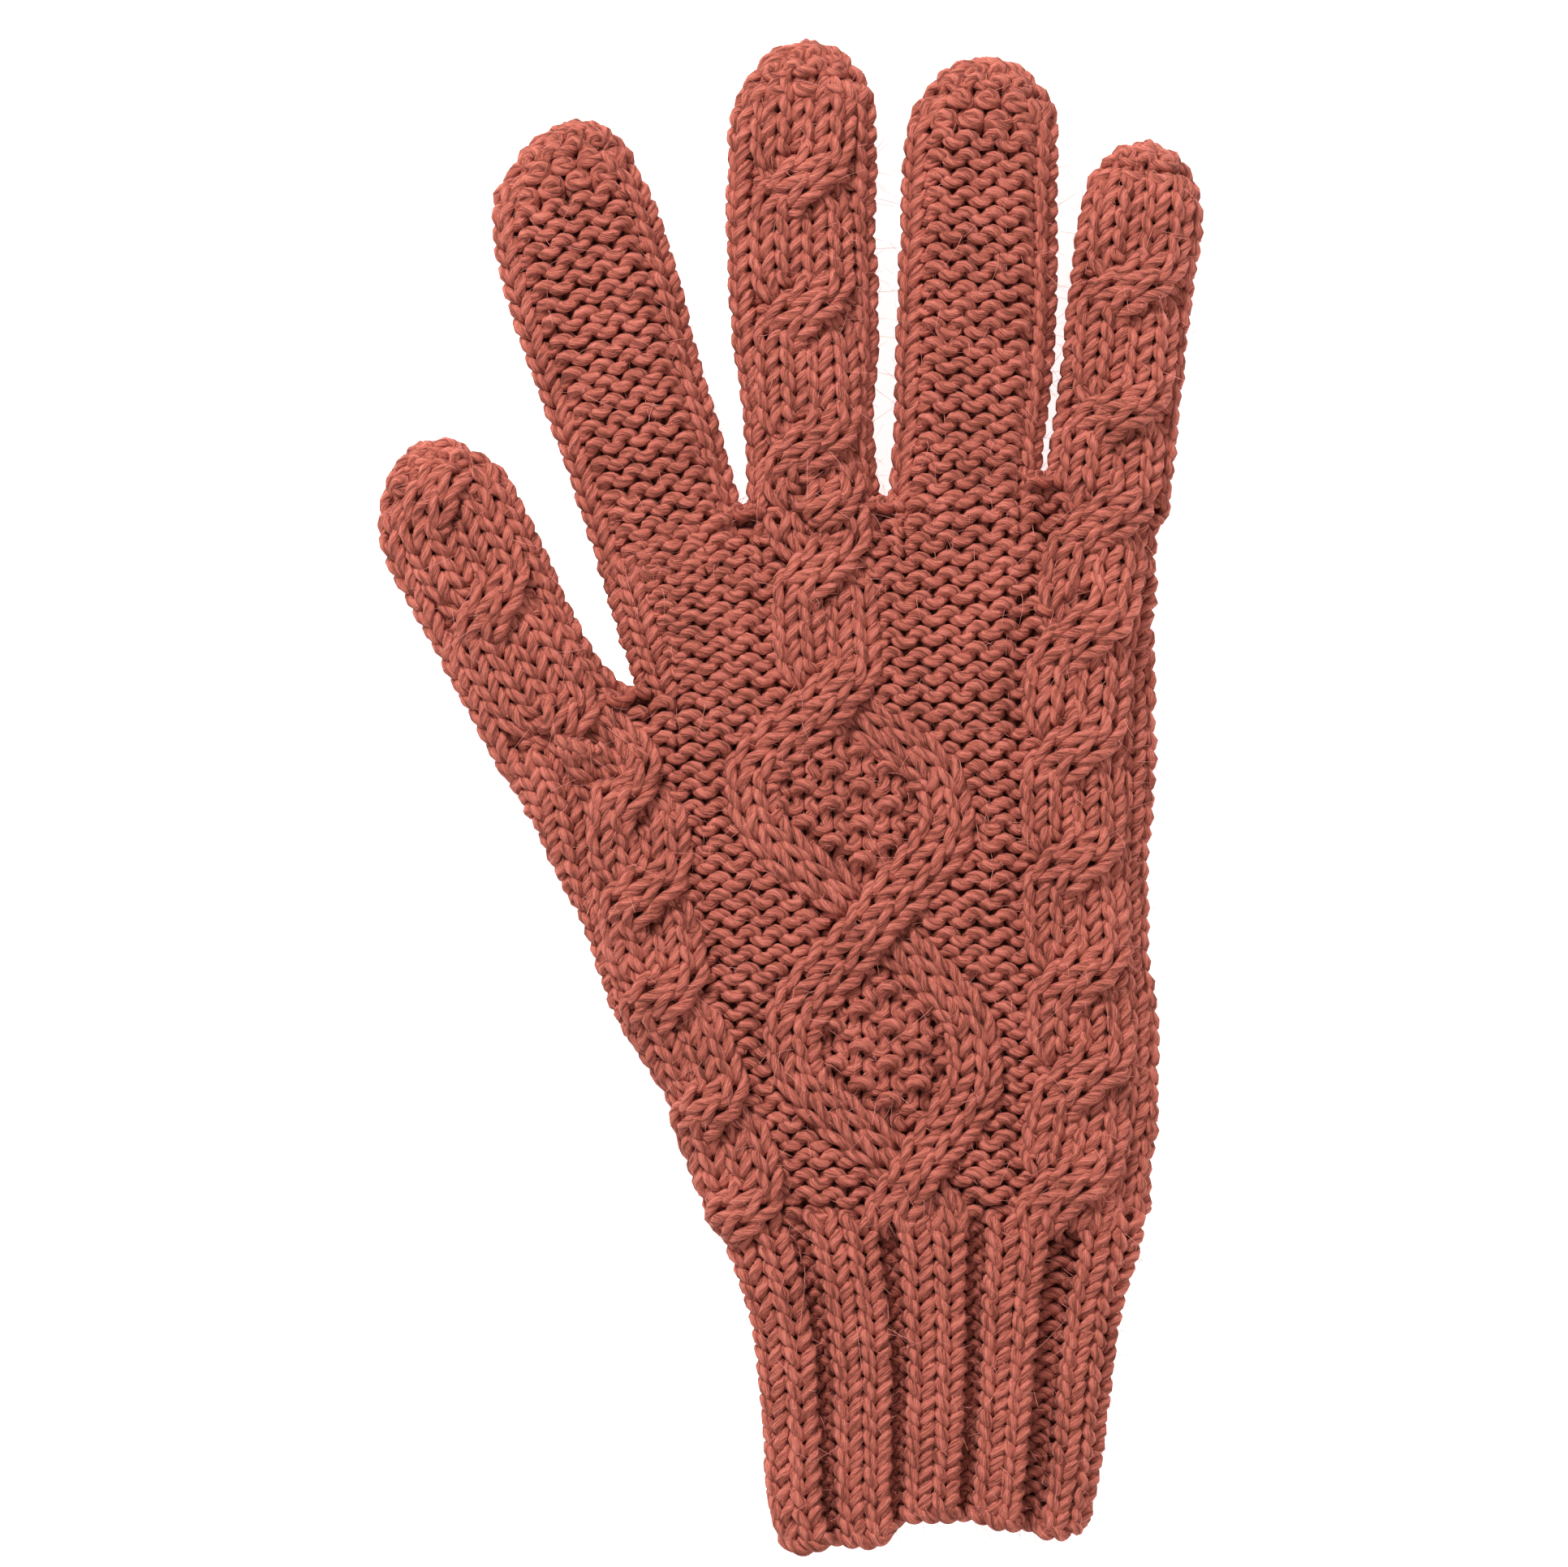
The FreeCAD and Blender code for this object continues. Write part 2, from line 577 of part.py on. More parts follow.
def fingertip(finger):
    """The drawn-in end of a finger: sections that shrink to the top, hollow at the base."""
    size = f"sizes.{finger}"
    body = new_body(f"{finger}_tip")
    sections = []
    for n, (along, width_share, height_share) in enumerate(TIP_SECTIONS):
        place = TIP_GAP + along * (cell(f"{finger}_tip") - TIP_GAP)
        section = new_sketch(body, f"section_{n}", "XZ_Plane", shift=(0, 0, -place))
        add_slot(
            section,
            f"{size}_upper_width * {width_share}",
            f"sizes.finger_height * {height_share}",
            "sizes.finger_height / 2",
        )
        sections.append(section)
    loft = body.newObject("PartDesign::AdditiveLoft", f"{finger}_tip_loft")
    loft.Profile = sections[0]
    loft.Sections = sections[1:]
    loft.Ruled = True
    hollow = new_sketch(body, "hollow", "XZ_Plane", shift=(0, 0, -TIP_GAP))
    add_slot(
        hollow,
        f"{size}_upper_width - 3 * sizes.fabric_wall",
        "sizes.finger_height - 2 * sizes.fabric_wall",
        "sizes.finger_height / 2",
    )
    pocket(body, hollow, "sizes.fabric_wall")
    place_on_finger(body, finger, f"{size}_lower + {size}_upper - {size}_tip")


def finger_cable(finger):
    """The rope cable on the back of a finger, one length on each tube."""
    size = f"sizes.{finger}"
    half = "sizes.finger_cable_width / 2"
    runs = {
        "lower_cable": ("0", "3", f"{size}_lower - 2"),
        "upper_cable": (f"{size}_lower", "2", f"{size}_upper - {size}_tip"),
    }
    for part, (along, start, end) in runs.items():
        body = new_body(f"{finger}_{part}")
        outline = new_sketch(body, "outline", "XY_Plane")
        add_polygon(
            outline,
            [(f"-{half}", start), (half, start), (half, end), (f"-{half}", end)],
        )
        pad(body, outline, RISE)
        place_on_finger(body, finger, along)
        body.setExpression("Placement.Base.z", "sizes.finger_height + sizes.seat")


for finger in FINGERS:
    finger_tubes(finger)
for finger in ("thumb", "middle", "little"):
    finger_cable(finger)

# ---------------------------------------------------------------- check and write
doc.recompute()
for item in doc.Objects:
    if "Invalid" in item.State or "Error" in item.State:
        raise RuntimeError(f"{item.Label}: {item.State}")
for body in NODES:
    if body.Shape.isNull() or not body.Shape.isValid() or body.Shape.Volume < 1:
        raise RuntimeError(f"{body.Label} has no sound solid")

os.makedirs("parts", exist_ok=True)
for body in NODES:
    body.Shape.exportStep(f"parts/{body.Label}.step")

whole = FreeCAD.BoundBox()
for body in NODES:
    whole.add(body.Shape.BoundBox)
print(len(NODES), "nodes")
print("box", [round(v, 2) for v in (whole.XMin, whole.XMax, whole.YMin, whole.YMax, whole.ZMin, whole.ZMax)])
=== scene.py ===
import json
import math

import bpy
import numpy as np
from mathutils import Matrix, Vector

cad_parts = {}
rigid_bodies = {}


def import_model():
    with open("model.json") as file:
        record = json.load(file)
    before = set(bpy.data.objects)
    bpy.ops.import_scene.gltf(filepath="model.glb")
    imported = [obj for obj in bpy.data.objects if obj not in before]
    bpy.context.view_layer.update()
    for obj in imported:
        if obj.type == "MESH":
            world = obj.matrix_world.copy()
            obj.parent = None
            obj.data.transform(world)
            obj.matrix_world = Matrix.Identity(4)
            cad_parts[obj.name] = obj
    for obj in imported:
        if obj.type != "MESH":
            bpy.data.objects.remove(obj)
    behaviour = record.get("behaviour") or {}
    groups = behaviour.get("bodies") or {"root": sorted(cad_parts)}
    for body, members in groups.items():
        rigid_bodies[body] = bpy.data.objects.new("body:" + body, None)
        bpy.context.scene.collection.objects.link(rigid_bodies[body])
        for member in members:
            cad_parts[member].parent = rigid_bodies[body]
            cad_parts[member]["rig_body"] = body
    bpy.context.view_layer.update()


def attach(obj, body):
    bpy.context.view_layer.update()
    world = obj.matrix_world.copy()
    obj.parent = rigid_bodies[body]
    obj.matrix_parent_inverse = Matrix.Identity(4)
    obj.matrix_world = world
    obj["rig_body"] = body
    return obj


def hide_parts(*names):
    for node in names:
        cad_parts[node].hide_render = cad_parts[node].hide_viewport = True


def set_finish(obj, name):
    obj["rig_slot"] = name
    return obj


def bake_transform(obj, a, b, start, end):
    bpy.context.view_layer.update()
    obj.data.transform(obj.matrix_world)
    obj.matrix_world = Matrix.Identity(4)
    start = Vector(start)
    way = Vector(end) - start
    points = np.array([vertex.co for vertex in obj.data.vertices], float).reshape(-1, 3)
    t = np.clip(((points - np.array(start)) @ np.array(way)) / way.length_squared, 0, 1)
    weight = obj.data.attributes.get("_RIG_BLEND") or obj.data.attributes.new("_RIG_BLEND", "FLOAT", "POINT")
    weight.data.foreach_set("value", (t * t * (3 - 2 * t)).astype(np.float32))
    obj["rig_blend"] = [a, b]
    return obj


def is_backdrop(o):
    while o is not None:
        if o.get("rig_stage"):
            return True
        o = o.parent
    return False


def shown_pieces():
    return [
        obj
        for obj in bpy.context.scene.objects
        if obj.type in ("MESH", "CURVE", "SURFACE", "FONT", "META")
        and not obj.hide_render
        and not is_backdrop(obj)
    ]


bl_info = {
    "name": "Cable-knit glove",
    "version": (1, 0, 0),
    "blender": (4, 5, 0),
    "location": "3D View > Sidebar > Glove",
    "description": "Knits a cabled right-hand glove, loop by loop, around its packed frame",
    "category": "Add Mesh",
}

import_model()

MM = 0.001
SLOT = "terracotta_yarn"
TABLE_TO_AXIS = 0.0065             # height of the bending lines over the table, in metres

# ---- shape of the glove, in millimetres

WRIST = -67.6                      # where the ribbing ends and the hand begins
THUMB_FORK = 15.4                  # height of the fork between thumb and index
FINGER_FORK = 44.6                 # mean height of the forks between the fingers
MOUTH = -118.0                     # mean height of the cuff's mouth
INSET = 1.9                        # how far the middle of the fabric lies inside its outline
HAND_RISE = 5.2                    # half the height of each tube, over the middle of its fabric
CUFF_RISE = 5.0
FINGER_RISE = 4.65
FINGER_LEVEL = 6.55                # height of the fingers' axes over the table

LEFT_EDGE = [(-72.0, -11.0), (-62.6, -14.8), (-50.0, -19.0), (-33.0, -28.8), (-21.0, -32.8),
             (-13.6, -36.6), (-5.8, -40.2), (2.0, -44.6), (12.0, -49.8), (25.0, -57.3)]
RIGHT_EDGE = [(-72.0, 58.6), (-62.6, 59.0), (-50.0, 60.4), (-37.0, 60.4), (-24.0, 58.7), (-12.0, 58.7),
              (2.0, 59.8), (25.0, 59.8), (41.0, 60.4), (50.0, 62.2), (60.0, 63.4)]
INDEX_EDGE = [(10.0, -22.6), (15.2, -23.8), (25.4, -27.0), (34.0, -29.6), (48.0, -33.6)]
CUFF_LEFT = [(-122.0, -1.0), (-112.0, -3.4), (-104.0, -4.0), (-92.0, -5.0), (-82.0, -7.0), (-74.0, -10.0),
             (-68.0, -12.6), (-60.0, -15.6)]
CUFF_RIGHT = [(-122.0, 48.4), (-112.0, 50.6), (-104.0, 52.0), (-96.0, 53.0), (-82.0, 55.2), (-74.0, 57.8),
              (-68.0, 59.0), (-60.0, 59.2)]
MOUTH_LINE = [(-1.0, -117.2), (3.0, -120.2), (8.0, -118.8), (14.5, -119.0), (19.5, -115.0), (30.0, -114.8),
              (35.0, -116.2), (39.0, -116.4), (43.0, -117.8), (47.0, -116.6), (50.0, -115.6)]
GUSSET_LINE = [(-67.6, -12.0), (15.4, -23.7)]
FORK_LINE = [(-29.8, 36.4), (-18.0, 40.2), (-6.3, 43.6), (5.0, 44.0), (16.2, 44.9), (29.0, 46.6),
             (41.5, 49.1), (61.4, 47.0)]
FORKS = {"index_middle": (-6.3, 43.6), "middle_ring": (16.2, 44.9), "ring_little": (41.5, 49.1)}
# wall in each fork: x, y, lean to the left (degrees), level of its top, width, drop
WEBS = {
    "thumb_index": (-26.0, 15.0, 17.0, 11.6, 9.6, 9.2), "index_middle": (-6.5, 44.6, 8.0, 10.4, 7.2, 8.0),
    "middle_ring": (16.2, 45.9, 0.0, 10.4, 6.4, 8.0), "ring_little": (41.5, 50.1, -4.0, 10.4, 6.4, 8.0),
}

THUMB_CABLE = [(-76.0, -5.0), (-67.9, -7.2), (-62.0, -8.2), (-50.6, -11.8), (-41.0, -16.0), (-32.4, -19.2),
               (-15.7, -22.3), (-3.0, -23.8), (3.0, -26.0), (8.0, -29.8), (14.0, -35.6), (22.0, -41.4)]
LITTLE_CABLE = [(-76.0, 44.6), (-63.0, 45.4), (-45.7, 47.4), (-30.0, 47.0), (-11.0, 46.2), (6.4, 46.2),
                (25.0, 47.6), (43.0, 50.8), (58.0, 52.8)]
CENTRE_CABLE = [(-76.0, 22.4), (-61.8, 20.4), (-41.3, 15.9), (-20.9, 14.2), (-1.2, 10.4), (15.4, 7.8),
                (26.0, 6.7), (36.3, 6.2), (44.0, 5.2), (50.2, 4.7)]
DIAMOND_WAVE = [(-78.0, -4.4), (-68.5, -4.2), (-61.8, 0.0), (-43.2, 14.4), (-39.4, 14.4), (-20.9, 0.0),
                (-3.2, -15.2), (0.8, -15.2), (15.4, 0.0), (20.5, 4.3), (31.5, 4.3), (36.4, 0.0), (41.6, -4.2),
                (52.0, -4.2)]
DIAMONDS = {"lower": (-61.8, -41.3, -20.9), "upper": (-20.9, -1.2, 15.4)}

# name: knuckle x, y, lean to the left (degrees), root height along the finger, root rise across it,
#       length from the knuckle to the tip, wales, [(along, width, sideways)], where the lower piece ends,
#       where the middle joint bends
FINGERS = {
    "thumb": (-40.3, 17.6, 25.0, -9.1, 0.0, 42.8, 12,
              [(-9.1, 25.5, 1.5), (0.0, 23.0, -0.2), (8.6, 22.9, -0.8), (17.2, 23.8, -0.9),
               (25.8, 24.2, -1.3), (34.0, 23.2, -0.9), (42.8, 20.0, -0.3)], 9.6, 19.0),
    "index": (-21.7, 51.5, 17.0, -12.0, 0.0, 57.7, 12,
              [(-12.0, 24.8, 0.1), (5.3, 26.0, 0.2), (13.5, 26.5, 0.0), (29.8, 28.0, 0.0), (38.0, 27.8, 0.0),
               (46.0, 25.9, 0.3), (54.0, 25.0, 2.6), (57.7, 25.0, 4.0)], 12.0, 26.0),
    "middle": (4.4, 53.5, 1.6, -9.3, 0.03, 67.3, 12,
               [(-9.5, 22.3, 0.3), (3.1, 20.9, -0.2), (10.9, 22.1, -0.3), (18.7, 23.9, -0.4),
                (34.0, 24.4, -0.7), (50.0, 24.2, -0.1), (58.0, 23.8, 0.5), (67.3, 23.0, 1.0)], 14.0, 30.0),
    "ring": (29.5, 54.0, -2.2, -7.0, 0.205, 64.4, 12,
             [(-9.6, 25.0, -0.4), (2.6, 24.5, 0.0), (10.4, 25.4, 0.4), (26.0, 26.0, 0.5), (34.0, 25.6, 0.4),
              (49.4, 25.2, 0.2), (57.0, 25.0, 0.8), (64.4, 24.0, 0.6)], 14.0, 29.0),
    "little": (52.4, 58.0, -6.0, -9.9, 0.0, 47.0, 10,
               [(-10.0, 20.9, 0.5), (-1.4, 20.4, 0.6), (6.4, 20.0, 0.8), (22.1, 20.2, 0.9), (30.0, 20.3, 1.2),
                (38.0, 20.0, 1.3), (47.0, 19.0, 1.1)], 10.5, 21.5),
}
# where the strands of a finger's cable cross, along the finger
FINGER_CABLES = {"thumb": [-9.0, 13.6, 33.0], "middle": [-9.3, 1.6, 23.7, 44.2], "little": [-15.0, 3.0, 23.1]}
TIP_LENGTH = {"little": 11.0}      # of the closed end; the others have the length below
USUAL_TIP = 13.0

RIBS = 10
VALLEY_HALF = {1: 0.19}            # half a valley's share of a rib; the others have the share below
USUAL_VALLEY_HALF = 0.115


# ---- sizes and colours a user may change

class GLOVE_PG_yarn(bpy.types.PropertyGroup):
    diameter: bpy.props.FloatProperty(
        name="Yarn diameter", description="Thickness of the plied yarn", default=0.00195,
        min=0.0012, max=0.0024, unit="LENGTH", subtype="DISTANCE")
    colour: bpy.props.FloatVectorProperty(
        name="Yarn colour", description="Middle colour of the dyed wool", default=(0.52, 0.130, 0.088),
        size=3, min=0.0, max=1.0, subtype="COLOR")
    loose_fibres: bpy.props.IntProperty(
        name="Loose fibres", description="How many fine hairs stand out of the wool", default=14000,
        min=0, max=20000)
    sides: bpy.props.IntProperty(
        name="Yarn sides", description="Faces around the yarn", default=8, min=5, max=10)


class GLOVE_PG_gauge(bpy.types.PropertyGroup):
    wale: bpy.props.FloatProperty(
        name="Ground wale", description="Width of one column on the back of the hand", default=0.00455,
        unit="LENGTH", subtype="DISTANCE")
    row: bpy.props.FloatProperty(
        name="Hand row", description="Height of one row of the hand", default=0.003,
        unit="LENGTH", subtype="DISTANCE")
    cuff_row: bpy.props.FloatProperty(
        name="Cuff row", description="Height of one row of the ribbing", default=0.0027,
        unit="LENGTH", subtype="DISTANCE")
    cable_wale: bpy.props.FloatProperty(
        name="Cable wale", description="Width of one column of a cable", default=0.0041,
        unit="LENGTH", subtype="DISTANCE")
    cable_lift: bpy.props.FloatProperty(
        name="Cable lift", description="How far a crossing strand stands out over the other", default=0.0018,
        unit="LENGTH", subtype="DISTANCE")


# ---- small tools

def smooth(x):
    x = np.clip(x, 0.0, 1.0)
    return x * x * (3 - 2 * x)


def line_of(points):
    """A smooth curve through a few (along, value) points, as a function."""
    along = np.array([p[0] for p in points], float)
    value = np.array([p[1] for p in points], float)
    slope = np.zeros(len(points))
    chord = np.diff(value) / np.diff(along)
    slope[1:-1] = np.where(chord[1:] * chord[:-1] > 0,
                           2 * chord[1:] * chord[:-1] / (chord[1:] + chord[:-1] + 1e-12), 0.0)
    slope[0], slope[-1] = chord[0], chord[-1]

    def at(y):
        y = np.asarray(y, float)
        k = np.clip(np.searchsorted(along, y) - 1, 0, len(along) - 2)
        step = along[k + 1] - along[k]
        t = (y - along[k]) / step
        u = np.clip(t, 0, 1)
        inside = (value[k] * (1 + 2 * u) * (1 - u) ** 2 + slope[k] * step * u * (1 - u) ** 2
                  + value[k + 1] * u * u * (3 - 2 * u) + slope[k + 1] * step * u * u * (u - 1))
        return inside + (t - u) * step * np.where(t > 1, slope[-1], slope[0])
    return at


def ripple(x, y, z):
    """A small handmade unevenness, the same at each run."""
    return (0.5 * np.sin(0.61 * x + 0.23 * y + 1.3) + 0.35 * np.sin(0.37 * y - 0.71 * x + 2.1 + 0.4 * z)
            + 0.3 * np.sin(1.17 * y + 0.53 * x + 0.7) + 0.25 * np.sin(1.43 * x - 0.94 * y + 4.0 - 0.6 * z))


# a quarter of the rounded side: arc length against angle, for a side 1.8 times as deep as it is high
SIDE_RATIO = 1.8
_angle = np.linspace(0, math.pi / 2, 181)
_step = np.hypot(SIDE_RATIO * np.diff(np.sin(_angle)), np.diff(np.cos(_angle)))
_arc = np.concatenate([[0], np.cumsum(_step)])
QUARTER = float(_arc[-1])


def rounding(half, rise):
    """Width of a section's rounded side, and the arc length of a quarter of it."""
    side = np.minimum(SIDE_RATIO * rise, half * 0.97)
    return side, QUARTER * rise * (0.35 + 0.65 * side / (SIDE_RATIO * rise))


def around(s, half, rise):
    """Point and outward direction at arc length s from the top centre of a flattened round section."""
    side, quarter = rounding(half, rise)
    flat = half - side
    total = 4 * (flat + quarter)
    t = np.mod(s, total)
    hand = np.where(t < total / 2, 1.0, -1.0)
    t = np.minimum(t, total - t)
    v = (t - flat) / quarter
    low = v > 1
    angle = np.interp(np.clip(np.where(low, 2 - v, v), 0, 1) * QUARTER, _arc, _angle)
    angle = np.where(low, math.pi - angle, angle)
    x = flat + side * np.sin(angle)
    x = np.where(v < 0, t, np.where(v > 2, total / 2 - t, x))
    z = rise * np.cos(angle)
    nx, nz = np.sin(angle) / side, np.cos(angle) / rise
    size = np.hypot(nx, nz)
    return hand * x, z, hand * nx / size, nz / size


def perimeter(half, rise):
    side, quarter = rounding(half, rise)
    return 4 * (half - side + quarter)


def arc_of(x, half, rise):
    """Arc length from the top centre to the point of the top face at sideways distance x."""
    side, quarter = rounding(half, rise)
    flat = half - side
    over = np.clip((np.abs(x) - flat) / side, 0, 1)
    return np.sign(x) * np.where(np.abs(x) < flat, np.abs(x),
                                 flat + quarter * np.interp(np.arcsin(over), _angle, _arc) / QUARTER)


def hash01(*keys):
    """A repeatable number from 0 to 1 for a stitch."""
    h = 0.0
    for n, k in enumerate(keys):
        h += (k + 1.37) * (12.9898 + 31.17 * n)
    return (math.sin(h) * 43758.5453) % 1.0


# ---- surfaces that the yarn is knitted on

class Tube:
    """A flat tube of fabric between two edges. Each kind of tube says its own half height, rise."""

    def middle(self, y):
        return (self.left(y) + self.right(y)) / 2

    def half(self, y):
        return (self.right(y) - self.left(y)) / 2 - INSET

    def round(self, y):
        return perimeter(self.half(y), self.rise(y))

    def settle(self, s_at, v, shift):
        """Height, sideways place, level and outward direction of row v, shifted across the tube."""
        def section(y):
            x, z, nx, nz = around(s_at(y), self.half(y), self.rise(y))
            return x + self.middle(y), z, nx, nz

        y = v
        for _ in range(2):
            y = v + shift(section(y)[0])
        return (y, *section(y))


class Hand(Tube):
    """The flat tube of the hand. Rows are level at the wrist, and lean with the thumb and with the forks."""

    def __init__(self, above_fork):
        self.left = line_of(INDEX_EDGE if above_fork else LEFT_EDGE)
        self.right = line_of(RIGHT_EDGE)
        self.fork = line_of(FORK_LINE)
        self.gusset = line_of(GUSSET_LINE)
        self.cables = [(line_of(THUMB_CABLE), not above_fork), (line_of(LITTLE_CABLE), True)]
        self.centre_cable, self.wave = line_of(CENTRE_CABLE), line_of(DIAMOND_WAVE)
        self.above = above_fork

    def rise(self, y):
        return HAND_RISE - 0.5 * smooth((y - 24) / 20)

    def lean(self, x, v):
        up = smooth((v - 2) / (FINGER_FORK - 2)) * (self.fork(np.clip(x, -30, 61)) - FINGER_FORK)
        if self.above:
            return up
        slope = math.tan(math.radians(25)) * np.clip((v - WRIST) / (THUMB_FORK - WRIST), 0, 1)
        away = self.gusset(v) + 3 - x
        return up - slope * np.log1p(np.exp(np.clip(away / 3, -20, 20))) * 3

    def relief(self, x, y, nz):
        """Height added to the back: sunk under the cables, dipping towards the forks, gently uneven."""
        top = smooth(nz * 1.5)
        sink = 0.0
        for line, here in self.cables:
            if here:
                sink = sink + 1.7 * np.exp(-((x - line(y)) / 6.2) ** 4)
                sink = sink + 1.5 * np.exp(-((np.abs(x - line(y)) - 9.2) / 1.9) ** 2)
        wave = np.abs(self.wave(y))
        centre = self.centre_cable(y)
        for side in (-1, 1):
            off = np.abs(x - centre - side * wave)
            sink = np.maximum(sink, 1.5 * np.exp(-(off / 3.6) ** 4) + 1.3 * np.exp(-((off - 5.6) / 1.7) ** 2))
        dip = 0.0
        for fx, fy in FORKS.values():
            dip = dip + 2.6 * np.exp(-((x - fx) / 2.6) ** 2) * smooth((y - fy + 11) / 11)
        soft = 0.55 * np.sin(0.055 * x + 0.9) * np.sin(0.043 * y + 0.4)
        return top * (soft - sink - dip)

    def place(self, s_at, v, lift, grounded=True):
        """Point, outward normal and depth of the relief on row v. Cables are not grounded."""
        y, x, z, nx, nz = self.settle(s_at, v, lambda x: self.lean(x, v))
        sunk = self.relief(x, y, nz) if grounded else 0.0 * x
        lift = lift + sunk
        point = np.stack([x + lift * nx, y, self.rise(y) + INSET + z + lift * nz], 1)
        return point, np.stack([nx, np.zeros_like(nx), nz], 1), sunk


class Cuff(Tube):
    """The ribbed tube below the wrist, with its wavy mouth."""

    def __init__(self):
        self.left, self.right = line_of(CUFF_LEFT), line_of(CUFF_RIGHT)
        self.mouth = line_of(MOUTH_LINE)

    def rise(self, y):
        return CUFF_RISE + 0.0 * y

    def place(self, s_at, v, lift, grounded=True):
        y, x, z, nx, nz = self.settle(s_at, v, lambda x: smooth((-92 - v) / 26) * (self.mouth(x) - MOUTH))
        at = np.mod(s_at(y) / (self.round(y) / RIBS), RIBS)
        rib = np.abs(np.mod(at + 0.5, 1) - 0.5)
        valley = np.where(np.abs(at - 1.5) < 0.5, 0.12, 0.05)
        ribbed = smooth((-65 - v) / 8)
        shaped = 1.1 - 4.2 * rib ** 2 - 2.9 * (1 - smooth((0.5 - rib - valley) / 0.13))
        sunk = ribbed * shaped + (1 - ribbed) * 0.2
        lift = lift + sunk
        point = np.stack([x + lift * nx, y, self.rise(y) + 2.1 + z + lift * nz], 1)
        point[:, 2] = np.maximum(point[:, 2], 1.0)
        return point, np.stack([nx, np.zeros_like(nx), nz], 1), sunk


class Finger(Tube):
    """A finger's round tube and its closed tip. v is the distance from the root along the surface."""

    def __init__(self, name):
        (x, y, lean, root, self.root_rise, self.length, self.wales, profile, self.split,
         self.bend) = FINGERS[name]
        turn = math.radians(lean)
        self.knuckle = np.array([x, y])
        self.along = np.array([-math.sin(turn), math.cos(turn)])
        self.across = np.array([math.cos(turn), math.sin(turn)])
        self.root = root
        self.width = line_of([(p[0], p[1]) for p in profile])
        self.aside = line_of([(p[0], p[2]) for p in profile])
        self.tip = TIP_LENGTH.get(name, USUAL_TIP)
        self.shaft = self.length - INSET - self.tip - root
        self.cap = (self.tip + (self.width(self.length - self.tip) / 2 - INSET)) / 2 * math.pi / 2

    def bow(self, v):
        return np.clip((v - self.shaft) / self.cap, 0, 1) * math.pi / 2

    def reach(self, v):
        """Distance along the axis from the knuckle."""
        closing = self.root + self.shaft + self.tip * np.sin(self.bow(v))
        return np.where(v < self.shaft, self.root + v, closing)

    def half(self, v):
        return (self.width(self.reach(v)) / 2 - INSET) * np.cos(self.bow(v)) ** 0.9 + 0.25

    def rise(self, v):
        return FINGER_RISE * np.maximum(np.cos(self.bow(v)), 0.02) ** 0.75 + 0.1

    def place(self, s_at, v, lift, grounded=True):
        half, rise = self.half(v), self.rise(v)
        x, z, nx, nz = around(s_at(v), half, rise)
        along = self.reach(v) + self.root_rise * x * (1 - smooth(v / 16))
        aside = x + self.aside(along)
        bow = self.bow(v)
        out = np.cos(bow)
        side = aside + lift * nx * out
        forward = along + lift * np.sin(bow)
        flat = self.knuckle + side[:, None] * self.across + forward[:, None] * self.along
        level = FINGER_LEVEL + 0.35 * (1 - smooth(v / 14)) + z + lift * nz * out
        point = np.column_stack([flat, level])
        turned = (nx * out)[:, None] * self.across + np.sin(bow)[:, None] * self.along
        return point, np.column_stack([turned, nz * out]), 0.0 * x


class Web:
    """The short upright wall of fabric in a fork, from the back layer down to the palm layer."""

    def __init__(self, x, y, lean, level):
        turn = math.radians(lean)
        self.corner = np.array([x, y, level])
        self.across = np.array([math.cos(turn), math.sin(turn), 0.0])
        self.out = np.array([-math.sin(turn), math.cos(turn), 0.0])

    def place(self, s_at, v, lift, grounded=True):
        s = s_at(v) + 0.0 * v
        point = (self.corner + s[:, None] * self.across + lift[:, None] * self.out
                 - v[:, None] * np.array([0.0, 0.0, 1.0]))
        # painted shade: the wall's stitches are darkened as if sunk 0.6 mm into the fork
        return point, np.tile(self.out, (len(s), 1)), 0.0 * s - 0.6


# ---- knitting

STEPS = 16                         # lengths of yarn in a loop
SHADE_OF_LIFT = 0.5                # how much a sunken stitch darkens, against its own loops
PROUD_RANGE = 1.8                  # how far in or out the yarn is wholly dark or wholly light
PURL_NECK, KNIT_NECK = 1.16, 1.5   # how far a loop's neck closes in, which leans its legs into a V


class Skein:
    """Yarn collected for one piece: open or closed runs of centre points."""

    def __init__(self):
        self.runs = []

    def add(self, points, normals, proud, closed=False, thick=1.0):
        """proud is how far each point stands out of the fabric's middle; the yarn's colour is darkened where it
        is low, as painted shade.
        """
        self.runs.append((np.asarray(points), np.asarray(normals), np.asarray(proud), closed, thick))


def loop_share(t, neck):
    """Where a loop's point t lies sideways, as a share of its column."""
    return (t + neck * np.sin(2 * t)) / (2 * math.pi)


